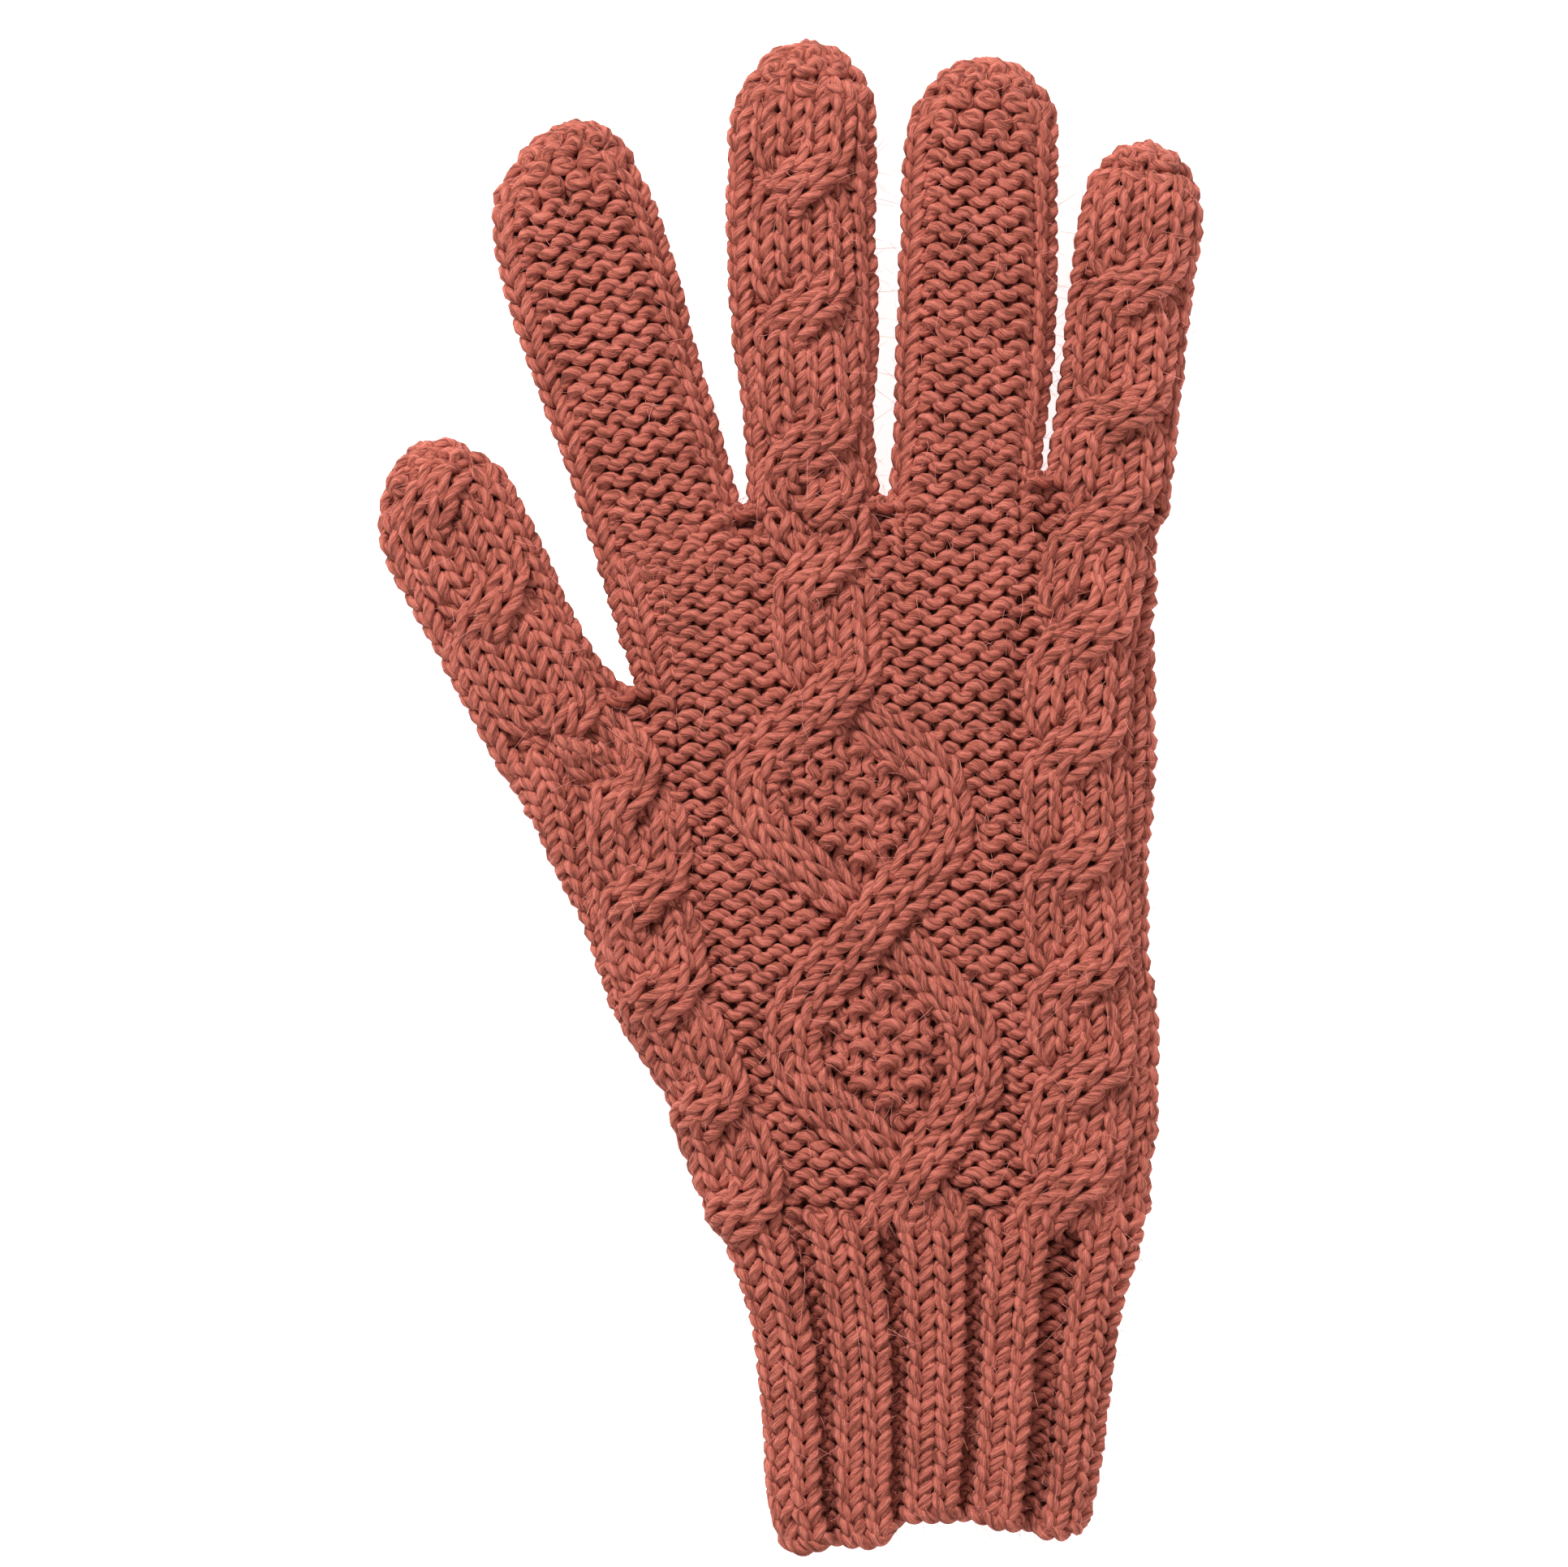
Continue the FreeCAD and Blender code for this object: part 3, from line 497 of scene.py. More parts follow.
def knit_row(shape, row, v0, height, stitches, skeins, closed=False, deep=0.93, reach=0.77):
    """Knits one row. stitches are (left, right, sign, piece, lift), left and right giving the arc length at a
    height. sign is 1 for a knit loop seen from outside and -1 for a purl."""
    count = len(stitches)
    t = np.linspace(0, 2 * math.pi, STEPS + 1)
    shares = {1: loop_share(t, KNIT_NECK), -1: loop_share(t, PURL_NECK)}
    turn = smooth(t / (0.5 * math.pi)) * smooth((2 * math.pi - t) / (0.5 * math.pi))
    run = {"piece": None, "parts": []}

    def close_run(whole=False):
        if run["parts"]:
            points, normals, proud = (np.concatenate(part) for part in zip(*run["parts"]))
            last = len(points) - 1 if whole else len(points)
            skeins.setdefault(run["piece"], Skein()).add(points[:last], normals[:last], proud[:last], whole)

    signs = [s[2] for s in stitches]
    for i, (left, right, sign, piece, lift) in enumerate(stitches):
        before = signs[i - 1] if (i > 0 or closed) else sign
        after = signs[(i + 1) % count] if (i < count - 1 or closed) else sign
        edge = np.where(t < math.pi, (sign + before) / 2, (sign + after) / 2)
        s = edge * (1 - turn) + sign * turn
        uneven = [0.13 * (hash01(row, k, 1.9) - 0.5) for k in (i, i + 0.5, (i + 1) % count)]
        foot = np.where(t < math.pi, uneven[0], uneven[2])
        size = 1 + foot * (1 + np.cos(t)) + uneven[1] * (1 - np.cos(t))
        y = -reach * height * np.cos(t) * size
        x = shares[sign] + 0.11 * (hash01(i, row, 5) - 0.5) * np.sin(t / 2) ** 2
        proud = -s * deep * np.cos(2 * t)
        h = proud + lift + 0.4 * (hash01(row, i, 9) - 0.5) * np.sin(t / 2) ** 2
        v = v0 + y + 0.5 * (hash01(row, i, 4) - 0.5) * np.sin(t)
        point, normal, sunk = shape.place(lambda q: (1 - x) * left(q) + x * right(q), v, h)
        point = point + 0.16 * ripple(point[:, 0] * 1.7, point[:, 1] * 1.9, point[:, 2])[:, None] * normal
        if piece != run["piece"]:
            close_run()
            run = {"piece": piece, "parts": []}
        elif run["parts"]:
            run["parts"][-1] = tuple(part[:-1] for part in run["parts"][-1])
        # painted shade: sunken stitches, purl valleys and stitches sunk beside the cables get a lower proud
        # value, which darkens their colour
        run["parts"].append((point, normal, proud + SHADE_OF_LIFT * (lift + sunk)))
    whole = closed and len({s[3] for s in stitches}) == 1
    close_run(whole)


def strand_row(shape, row, v0, height, line, aside, width, lift, skein, column, deep=0.9, reach=0.8):
    """One open knit loop of a raised column, turned to run along its strand. line gives the strand's
    middle and aside the column's distance from it at a height. The loop's two ends are buried."""
    t = np.linspace(0.10 * math.pi, 1.90 * math.pi, STEPS + 1)
    share = loop_share(t, KNIT_NECK) - 0.5
    uneven = 0.07 * (hash01(row, column, 3) - 0.5)
    way = v0 - reach * height * (1 + uneven) * np.cos(t)
    turn = np.arctan(line(way + 0.5) - line(way - 0.5))
    across = aside(way) + share * width
    v = way - across * np.sin(turn)
    proud = -deep * np.cos(2 * t)
    raised = lift(way) - 1.1 * (across / width) ** 2
    h = proud + raised - 0.7 * (1 - np.sin(t / 2)) ** 2 + 0.3 * (hash01(column, row, 7) - 0.5)
    leaning = lambda q: line(q + across * np.sin(turn)) + across * np.cos(turn)
    point, normal, _ = shape.place(leaning, v, h, False)
    # painted shade: where the strand passes under at a crossing, and at the column's outer edges, the lower
    # proud value darkens its colour
    skein.add(point, normal, proud + SHADE_OF_LIFT * (raised - 0.6), thick=0.97)


def new_piece(name, mesh, material):
    obj = bpy.data.objects.new(name, mesh)
    bpy.context.scene.collection.objects.link(obj)
    mesh.materials.append(material)
    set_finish(obj, SLOT)
    return obj


def yarn_mesh(name, skein, sides, radius):
    """A tube along each run of yarn, with its length and turn as the uv map named yarn."""
    verts, faces, uvs, tucks, caps, base = [], [], [], [], [], 0
    turn = np.arange(sides) * 2 * math.pi / sides
    for number, (points, normals, proud, closed, thick) in enumerate(skein.runs):
        count = len(points)
        tangent = np.roll(points, -1, 0) - np.roll(points, 1, 0) if closed else np.gradient(points, axis=0)
        tangent /= np.linalg.norm(tangent, axis=1)[:, None] + 1e-12
        side = np.cross(tangent, normals)
        side /= np.linalg.norm(side, axis=1)[:, None] + 1e-12
        up = np.cross(side, tangent)
        step = np.linalg.norm(np.diff(points, axis=0, append=points[:1]), axis=1)
        length = np.concatenate([[0], np.cumsum(step)])
        start = 7.31 * hash01(number, 2.2) * 10
        r = radius * thick * (1 + 0.05 * np.sin(0.9 * length[:count] + start))
        ring = (points[:, None] + r[:, None, None] * (np.cos(turn)[None, :, None] * side[:, None]
                                                      + np.sin(turn)[None, :, None] * up[:, None]))
        verts.append(ring.reshape(-1, 3))
        # painted shade: each vertex's height on its tube is added to the yarn's depth, so the tube's top is
        # coloured lighter and its underside darker
        upright = np.abs(np.sum(up * normals, 1))
        out = proud[:, None] + (r * upright)[:, None] * np.sin(turn)[None]
        tucks.append((0.5 + 0.5 * out / PROUD_RANGE).ravel())
        last = count if closed else count - 1
        i, k = np.meshgrid(np.arange(last), np.arange(sides), indexing="ij")
        j, m = (i + 1) % count, (k + 1) % sides
        quads = np.stack([i * sides + k, j * sides + k, j * sides + m, i * sides + m], -1).reshape(-1, 4)
        faces.append(quads + base)
        u0, u1 = length[:-1][:last][i] + start, length[1:][:last][i] + start
        w0, w1 = k / sides, (k + 1) / sides
        uvs.append(np.stack([np.stack([u0, w0], -1), np.stack([u1, w0], -1), np.stack([u1, w1], -1),
                             np.stack([u0, w1], -1)], 2).reshape(-1, 2))
        if not closed:
            caps += [base + at * sides + np.arange(sides)[::order] for at, order in ((0, 1), (count - 1, -1))]
        base += count * sides
    verts = np.concatenate(verts) * MM
    quads = np.concatenate(faces)
    mesh = bpy.data.meshes.new(name)
    loops = np.concatenate([quads.ravel(), *caps]).astype(np.int32)
    starts = np.concatenate([np.arange(len(quads)) * 4, len(quads) * 4 + np.arange(len(caps)) * sides])
    totals = np.concatenate([np.full(len(quads), 4), np.full(len(caps), sides)])
    mesh.vertices.add(len(verts))
    mesh.vertices.foreach_set("co", verts.astype(np.float32).ravel())
    mesh.loops.add(len(loops))
    mesh.loops.foreach_set("vertex_index", loops)
    mesh.polygons.add(len(starts))
    mesh.polygons.foreach_set("loop_start", starts.astype(np.int32))
    mesh.polygons.foreach_set("loop_total", totals.astype(np.int32))
    mesh.update(calc_edges=True)
    layer = mesh.uv_layers.new(name="yarn")
    uv = np.zeros((len(loops), 2), np.float32)
    uv[: len(quads) * 4] = np.concatenate(uvs)
    layer.data.foreach_set("uv", uv.ravel())
    proud = mesh.attributes.new("proud", "FLOAT", "POINT")
    proud.data.foreach_set("value", np.clip(np.concatenate(tucks), 0, 1).astype(np.float32))
    mesh.polygons.foreach_set("use_smooth", np.ones(len(starts), bool))
    mesh.validate()
    return new_piece(name, mesh, shared("Terracotta wool", yarn_material))


def make_pieces(skeins, stands_for, follow):
    """Turns each skein into its piece, lets it follow its bodies and hides the frame's plain solids."""
    yarn = bpy.context.scene.glove_yarn
    for name in sorted(skeins):
        obj = yarn_mesh(name, skeins[name], yarn.sides, yarn.diameter / MM / 2)
        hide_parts(*stands_for.get(name, []))
        follow(obj)


def follow_wrist(obj):
    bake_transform(obj, "hand", "cuff", start=(0.022, -0.056, TABLE_TO_AXIS), end=(0.022, -0.076, TABLE_TO_AXIS))


def ring_faces(rings, corners):
    """Faces between the rings of a tube, each ring having the same number of corners."""
    return [[i * corners + k, (i + 1) * corners + k, (i + 1) * corners + m, i * corners + m]
            for i in range(rings - 1) for k, m in zip(range(corners), [*range(1, corners), 0])]


def inner_face(name, shape, low, high, follow):
    """The matted inside of the fabric: a thin sleeve under the loops that closes the gaps between them, coloured
    dark as painted shade.
    """
    corners, depth, thickness = 72, 1.25, 0.0005
    share = np.arange(corners) / corners
    heights = np.linspace(low, high, max(4, int((high - low) / 1.5)) + 1)
    rings = [shape.place(lambda q: share * shape.round(q), np.full(corners, v), np.full(corners, -depth))[0]
             for v in heights]
    mesh = bpy.data.meshes.new(name)
    mesh.from_pydata((np.concatenate(rings) * MM).tolist(), [], ring_faces(len(rings), corners))
    obj = new_piece(name, mesh, shared("Matted wool inside", inner_material))
    bpy.ops.object.select_all(action="DESELECT")
    obj.select_set(True)
    bpy.context.view_layer.objects.active = obj
    bpy.ops.object.mode_set(mode="EDIT")
    bpy.ops.mesh.select_all(action="SELECT")
    bpy.ops.mesh.remove_doubles(threshold=0.00002)
    bpy.ops.mesh.normals_make_consistent(inside=False)
    bpy.ops.object.mode_set(mode="OBJECT")
    wall = obj.modifiers.new("wall", "SOLIDIFY")
    wall.thickness, wall.offset = thickness, -1
    bpy.ops.object.modifier_apply(modifier="wall")
    bpy.ops.object.shade_smooth()
    follow(obj)
    obj.select_set(False)


# ---- finishes

def shared(name, make):
    """The material of that name, made the first time that it is asked for."""
    return bpy.data.materials.get(name) or make(name).material


def wool(factor, extra=0.0):
    """The yarn's colour, darker or paler."""
    return [min(1.0, c * factor + extra) for c in bpy.context.scene.glove_yarn.colour]


class Finish:
    """A material and the nodes that give it its colour and bump."""

    def __init__(self, name, values):
        self.material = bpy.data.materials.new(name)
        self.material.use_nodes = True
        self.tree = self.material.node_tree
        self.shader = self.tree.nodes["Principled BSDF"]
        for socket, value in values.items():
            self.shader.inputs[socket].default_value = value

    def node(self, kind, wires=None, **values):
        """A new node. wires are the outputs that run into its inputs, and values its fixed inputs."""
        node = self.tree.nodes.new("ShaderNode" + kind)
        for socket, value in values.items():
            node.inputs[socket].default_value = value
        for socket, output in (wires or {}).items():
            self.tree.links.new(output, node.inputs[socket])
        return node

    def math(self, operation, a, b=None):
        """A calculation on an output, with a number or another output."""
        node = self.node("Math", {0: a})
        node.operation = operation
        if isinstance(b, float):
            node.inputs[1].default_value = b
        elif b is not None:
            self.tree.links.new(b, node.inputs[1])
        return node.outputs[0]

    def weighted(self, *parts):
        """The sum of (output, weight) parts."""
        total = None
        for output, weight in parts:
            part = self.math("MULTIPLY", output, weight)
            total = part if total is None else self.math("ADD", total, part)
        return total

    def place(self):
        return self.node("TexCoord").outputs["Object"]

    def noise(self, place, **values):
        return self.node("TexNoise", {"Vector": place}, **values).outputs["Fac"]

    def ramp(self, value, *stops):
        """The colour for a value. stops are (position, colour), from the first end to the last."""
        node = self.node("ValToRGB", {"Fac": value})
        elements = node.color_ramp.elements
        for number, (at, colour) in enumerate((stops[0], stops[-1])):
            elements[number].position = at
            elements[number].color = (*colour, 1)
        for at, colour in stops[1:-1]:
            elements.new(at).color = (*colour, 1)
        return node.outputs["Color"]

    def paint(self, colour):
        self.tree.links.new(colour, self.shader.inputs["Base Color"])

    def bump(self, height, **values):
        node = self.node("Bump", {"Height": height}, **values)
        self.tree.links.new(node.outputs["Normal"], self.shader.inputs["Normal"])


def yarn_material(name):
    finish = Finish(name, {"Roughness": 0.88, "Specular IOR Level": 0.22, "Sheen Weight": 0.08,
                           "Sheen Roughness": 0.4, "Sheen Tint": (1.0, 0.62, 0.5, 1.0)})
    run = finish.node("UVMap")
    run.uv_map = "yarn"
    length, side = finish.node("SeparateXYZ", {"Vector": run.outputs["UV"]}).outputs[:2]
    place = finish.place()

    # the plies and their fibres wind once around the yarn in about eight millimetres
    wound = finish.weighted((length, 0.78), (side, 2 * math.pi))
    ply = finish.math("ABSOLUTE", finish.math("SINE", finish.math("MULTIPLY", wound, 1.5)))
    spot = finish.node("CombineXYZ", {"X": finish.math("COSINE", wound), "Y": finish.math("SINE", wound),
                                      "Z": finish.math("MULTIPLY", length, 0.22)})
    fibre = finish.noise(spot.outputs["Vector"], Scale=3.0, Detail=3.0, Roughness=0.65)
    cloud = finish.noise(place, Scale=130.0, Detail=3.0)
    speck = finish.noise(place, Scale=1500.0, Detail=2.0)
    tone = finish.math("SUBTRACT", finish.weighted((fibre, 0.95), (ply, 0.20), (cloud, 0.3)), 0.24)
    # the ply term darkens the grooves between the plies a little, as painted shade; the fibre and cloud noise
    # are the wool's own uneven tone
    dyed_with_ply_shade = finish.ramp(tone, (0.34, wool(0.40)), (0.5, wool(1.0)), (0.70, wool(1.4, 0.05)))

    # painted shade: yarn that lies deep between its neighbours gets little light, so its colour is darkened
    proud = finish.node("Attribute")
    proud.attribute_name = "proud"
    shade = finish.ramp(proud.outputs["Fac"], (0.12, (0.52, 0.36, 0.33)), (0.74, (1, 1, 1)))
    both = finish.node("Mix")
    both.data_type = "RGBA"
    both.blend_type = "MULTIPLY"
    both.inputs["Factor"].default_value = 1.0
    finish.tree.links.new(dyed_with_ply_shade, both.inputs["A"])
    finish.tree.links.new(shade, both.inputs["B"])
    finish.paint(both.outputs["Result"])
    finish.bump(finish.weighted((ply, 0.7), (fibre, 1.8), (speck, 0.25)), Strength=0.9, Distance=0.0004)
    return finish


def inner_material(name):
    finish = Finish(name, {"Roughness": 0.95, "Specular IOR Level": 0.1})
    matted = finish.noise(finish.place(), Scale=900.0, Detail=4.0)
    # painted shade: the inside, seen through the gaps between the loops, is coloured only 0.2 to 0.5 of the
    # yarn's colour
    finish.paint(finish.ramp(matted, (0.0, wool(0.2)), (1.0, wool(0.5))))
    finish.bump(matted, Distance=0.0003)
    return finish


def fibre_material(name):
    finish = Finish(name, {"Roughness": 0.9, "Specular IOR Level": 0.15, "Sheen Weight": 0.3})
    cloud = finish.noise(finish.place(), Scale=260.0)
    finish.paint(finish.ramp(cloud, (0.0, wool(0.9)), (1.0, wool(1.5, 0.22))))
    return finish


def board_material(name):
    finish = Finish(name, {"Roughness": 0.9, "Specular IOR Level": 0.1,
                           "Emission Color": (1, 1, 1, 1), "Emission Strength": 0.85})
    cloud = finish.noise(finish.place(), Scale=40.0)
    finish.paint(finish.ramp(cloud, (0.0, (0.93, 0.93, 0.93)), (1.0, (0.96, 0.96, 0.96))))
    return finish


# ---- the hand

def spread(start, end, count):
    """Equal columns between two lines, each as its two edges."""
    def edge(share):
        return lambda y: start(y) + (end(y) - start(y)) * share
    return [(edge(k / count), edge((k + 1) / count)) for k in range(count)]


def hand_rows():
    """Every row of the hand as (shape, row number, height, spacing, stitches)."""
    gauge = bpy.context.scene.glove_gauge
    rows = []
    for shape, low, high in ((Hand(False), WRIST, THUMB_FORK), (Hand(True), THUMB_FORK, FINGER_FORK)):
        count = int(round((high - low) / (gauge.row / MM)))
        height = (high - low) / count
        for k in range(count):
            v, j = low + (k + 0.5) * height, len(rows)
            rows.append((shape, j, v, height, hand_stitches(shape, v, j, gauge.wale / MM)))
    return rows


def diamond_half(y, which):
    low, mid, top = DIAMONDS[which]
    if not low < y < top:
        return -1.0
    return abs(float(line_of(DIAMOND_WAVE)(y)))


FIRST_COLUMN = 1.1                 # a column edge of the ground on the back
NARROWEST_PURL, NARROWEST_KNIT = 1.2, 1.3  # a column is left out where it would be narrower
GUSSET_WALE = 4.25


def hand_stitches(shape, v, j, wale):
    """One row's stitches, from the thumb cable over the back, round the little-finger side and the palm."""
    little, thumb, centre = line_of(LITTLE_CABLE), line_of(THUMB_CABLE), line_of(CENTRE_CABLE)

    def to_arc(x, y):
        return arc_of(x - shape.middle(y), shape.half(y), shape.rise(y))

    def column_edge(x):
        return lambda y: np.minimum(np.maximum(x - shape.middle(y), left_end(y)), right_end(y))

    whole = shape.round
    right_end = lambda y: to_arc(little(y), y)
    left_end = (lambda y: -(whole(y) / 4) + 7.6) if shape.above else (lambda y: to_arc(thumb(y), y))
    left_start = lambda y: whole(y) + left_end(y)
    if shape.above:
        palm_end = lambda y: whole(y) / 2 + (whole(y) / 4 - QUARTER * shape.rise(y))
    else:
        palm_end = lambda y: whole(y) / 2 + (shape.middle(y) - shape.gusset(y))
    stitches = []

    # back: columns at fixed places, purled, or moss inside the diamonds
    first = int(math.floor((float(shape.middle(v) + left_end(v)) - FIRST_COLUMN) / wale))
    last = int(math.ceil((float(little(v)) - FIRST_COLUMN) / wale))
    for k in range(first, last):
        x0, x1 = FIRST_COLUMN + k * wale, FIRST_COLUMN + (k + 1) * wale
        line0, line1 = column_edge(x0), column_edge(x1)
        if float(line1(v) - line0(v)) < NARROWEST_PURL:
            continue
        x = (x0 + x1) / 2
        piece, sign, lift = "back_panel_purl_ground", -1, 0.0
        y = v + float(shape.lean(np.array([x]), np.array([v]))[0])
        for which in DIAMONDS:
            if abs(x - float(centre(y))) < diamond_half(y, which) - 1.6:
                piece = which + "_diamond_moss_stitch"
                sign = 1 if (k + j) % 2 else -1
                lift = 0.15 - 0.55 * sign
        for fork, (fx, fy) in FORKS.items():
            if abs(x - fx) < 4.6 and fy - y < 6.4:
                piece = fork + "_web_stitches"
        if not shape.above and abs(x + 24.5) < 6 and THUMB_FORK - v < 6:
            piece = "thumb_index_web_stitches"
        stitches.append((line0, line1, sign, piece, lift))

    # little-finger side and palm: knit columns spread evenly
    for line0, line1 in spread(right_end, palm_end, 21 if shape.above else 23):
        s = float(line0(v) + line1(v)) / 2
        piece = "little_side_edge_knit" if s < float(whole(v)) / 4 + 6 else "palm_panel_knit"
        stitches.append((line0, line1, 1, piece, 0.0))

    # thumb side: columns that follow the edge, and on the gusset start from its seam line
    if shape.above:
        columns = spread(palm_end, left_start, 4)
        return stitches + [(*edges, 1, "thumb_side_edge_knit", 0.0) for edges in columns]
    for k in range(int(math.ceil(float(left_start(v) - palm_end(v)) / GUSSET_WALE)), 0, -1):
        line0 = lambda y, k=k: np.maximum(left_start(y) - GUSSET_WALE * k, palm_end(y))
        line1 = lambda y, k=k: np.maximum(left_start(y) - GUSSET_WALE * (k - 1), palm_end(y))
        if float(line1(v) - line0(v)) < NARROWEST_KNIT:
            continue
        s = float(line0(v) + line1(v)) / 2
        piece = "thumb_side_edge_knit" if s > 0.75 * float(whole(v)) - 6 else "palm_panel_knit"
        stitches.append((line0, line1, 1, piece, 0.0))
    return stitches


class GLOVE_OT_hand(bpy.types.Operator):
    """Knit the hand: purl back with moss diamonds, knit edges and knit palm"""
    bl_idname = "glove.hand"
    bl_label = "Knit the hand"

    def execute(self, context):
        skeins = {}
        for shape, j, v, height, stitches in hand_rows():
            if j < 2:
                stitches = [(a, b, s, "wrist_band_knit", e) for a, b, s, p, e in stitches]
            knit_row(shape, j, v, height, stitches, skeins, closed=True)
        for number, (fork, (x, y, lean, level, width, drop)) in enumerate(WEBS.items()):
            wall, rows = Web(x, y, lean, level), 3
            stitches = [(lambda q, k=k: width * (k / 2 - 0.5), lambda q, k=k: width * ((k + 1) / 2 - 0.5),
                         1, fork + "_web_stitches", 0.0) for k in range(2)]
            for j in range(rows):
                knit_row(wall, j + 80 + 5 * number, (j + 0.5) * drop / rows, drop / rows, stitches, skeins,
                         deep=0.7)
        stands_for = {
            "back_panel_purl_ground": ["back_panel"],
            "palm_panel_knit": ["palm_panel"],
            "thumb_side_edge_knit": ["thumb_side_edge"],
            "little_side_edge_knit": ["little_side_edge"],
            "wrist_band_knit": ["wrist_band"],
        }
        stands_for.update({which + "_diamond_moss_stitch": [which + "_diamond_moss"] for which in DIAMONDS})
        stands_for.update({fork + "_web_stitches": [fork + "_web"] for fork in WEBS})
        make_pieces(skeins, stands_for, follow_wrist)
        inner_face("hand_inner_face", Hand(False), WRIST, THUMB_FORK, follow_wrist)
        inner_face("knuckles_inner_face", Hand(True), THUMB_FORK - 0.5, FINGER_FORK - 0.5, follow_wrist)
        return {"FINISHED"}


# ---- cables

def rope(shape, v_from, v_to, height, centre, swing, crossings, skein, lift=0.95, phase=0, fade=None):
    """Two strands of two knit columns each. swing gives how far a strand's middle is from the centre line;
    where it passes through nought the strand that rises to the right lies on top."""
    gauge = bpy.context.scene.glove_gauge
    wale, over = gauge.cable_wale / MM, gauge.cable_lift / MM
    rows = max(1, int(round((v_to - v_from) / height)))
    height = (v_to - v_from) / rows
    for strand in (1, -1):
        def line(q):
            return centre(q) + strand * swing(q)

        def raised(q):
            h = lift + 0.0 * q
            for c, rising in crossings:
                near = np.exp(-((q - c) / 4.0) ** 2)
                h = h + np.where(strand * rising > 0, over, -0.95 * over) * near
            return h if fade is None else h + fade(q)

        for side in (-0.5, 0.5):
            def aside(q):
                pinch = sum(np.exp(-((q - c) / 4.6) ** 2) for c, _ in crossings)
                return side * wale * (1.04 - 0.2 * pinch)

            for j in range(rows):
                strand_row(shape, j, v_from + (j + 0.5) * height, height, line, aside, wale, raised, skein,
                           phase + strand + 2 * side)


def square_wave(crossings, half, first=-1, soft=5.2):
    """A strand's swing between two sides, changing over at each crossing."""
    def at(q):
        value = first * half + 0.0 * q
        for number, c in enumerate(crossings):
            value = value - 2 * first * (-1) ** number * half * smooth((q - c + soft) / (2 * soft))
        return value
    return at, [(c, -1.0 * first * (-1) ** number) for number, c in enumerate(crossings)]


STRAND_SWING = 0.98                # how far a strand lies from the cable's middle, in columns
CABLE_START = -70.0                # height at which the hand's cables come out of the ribbing
THUMB_CROSSINGS = [-67.9, -50.6, -32.4, -15.7, 1.0, 13.6]
LITTLE_CROSSINGS = [-63.0, -45.7, -29.4, -11.2, 6.8, 25.0, 43.1]
CENTRE_CROSSINGS = [(-61.8, 1.0), (-20.9, -1.0), (15.4, 1.0), (36.4, -1.0)]


class GLOVE_OT_hand_cables(bpy.types.Operator):
    """Knit the two side cables, the diamonds' strands and the centre cable on the back of the hand"""
    bl_idname = "glove.hand_cables"
    bl_label = "Knit the hand's cables"

    def execute(self, context):
        row = context.scene.glove_gauge.row / MM
        below, above = Hand(False), Hand(True)
        half = STRAND_SWING * context.scene.glove_gauge.cable_wale / MM

        def on(shape, line):
            return lambda y: arc_of(line(y) - shape.middle(y), shape.half(y), shape.rise(y))

        skeins = {}

        def lay(name, shape, line, low, high, swing, signs, phase=0):
            skein = skeins.setdefault(name, Skein())
            rope(shape, low, high, row, on(shape, line), swing, signs, skein, phase=phase)

        thumb, little, centre = line_of(THUMB_CABLE), line_of(LITTLE_CABLE), line_of(CENTRE_CABLE)
        wave = square_wave(THUMB_CROSSINGS, half)
        lay("thumb_side_cable_rope", below, thumb, CABLE_START, THUMB_FORK, *wave)
        wave = square_wave(LITTLE_CROSSINGS, half)
        lay("little_side_cable_rope", below, little, CABLE_START, THUMB_FORK, *wave)
        lay("little_side_cable_rope", above, little, THUMB_FORK, FINGER_FORK, *wave)
        wave, between = (line_of(DIAMOND_WAVE), CENTRE_CROSSINGS), DIAMONDS["upper"][0]
        lay("lower_diamond_strands", below, centre, CABLE_START, between, *wave, phase=5)
        lay("upper_diamond_strands", below, centre, between, THUMB_FORK, *wave, phase=5)
        lay("centre_cable_rope", above, centre, THUMB_FORK, FINGER_FORK, *wave, phase=5)
        stands_for = {
            "thumb_side_cable_rope": ["thumb_side_cable"],
            "little_side_cable_rope": ["little_side_cable"],
            "lower_diamond_strands": ["lower_diamond_left_strand", "lower_diamond_right_strand"],
            "upper_diamond_strands": ["upper_diamond_left_strand", "upper_diamond_right_strand",
                                      "diamond_crossings"],
            "centre_cable_rope": ["centre_cable"],
        }
        make_pieces(skeins, stands_for, follow_wrist)
        return {"FINISHED"}


# ---- the cuff

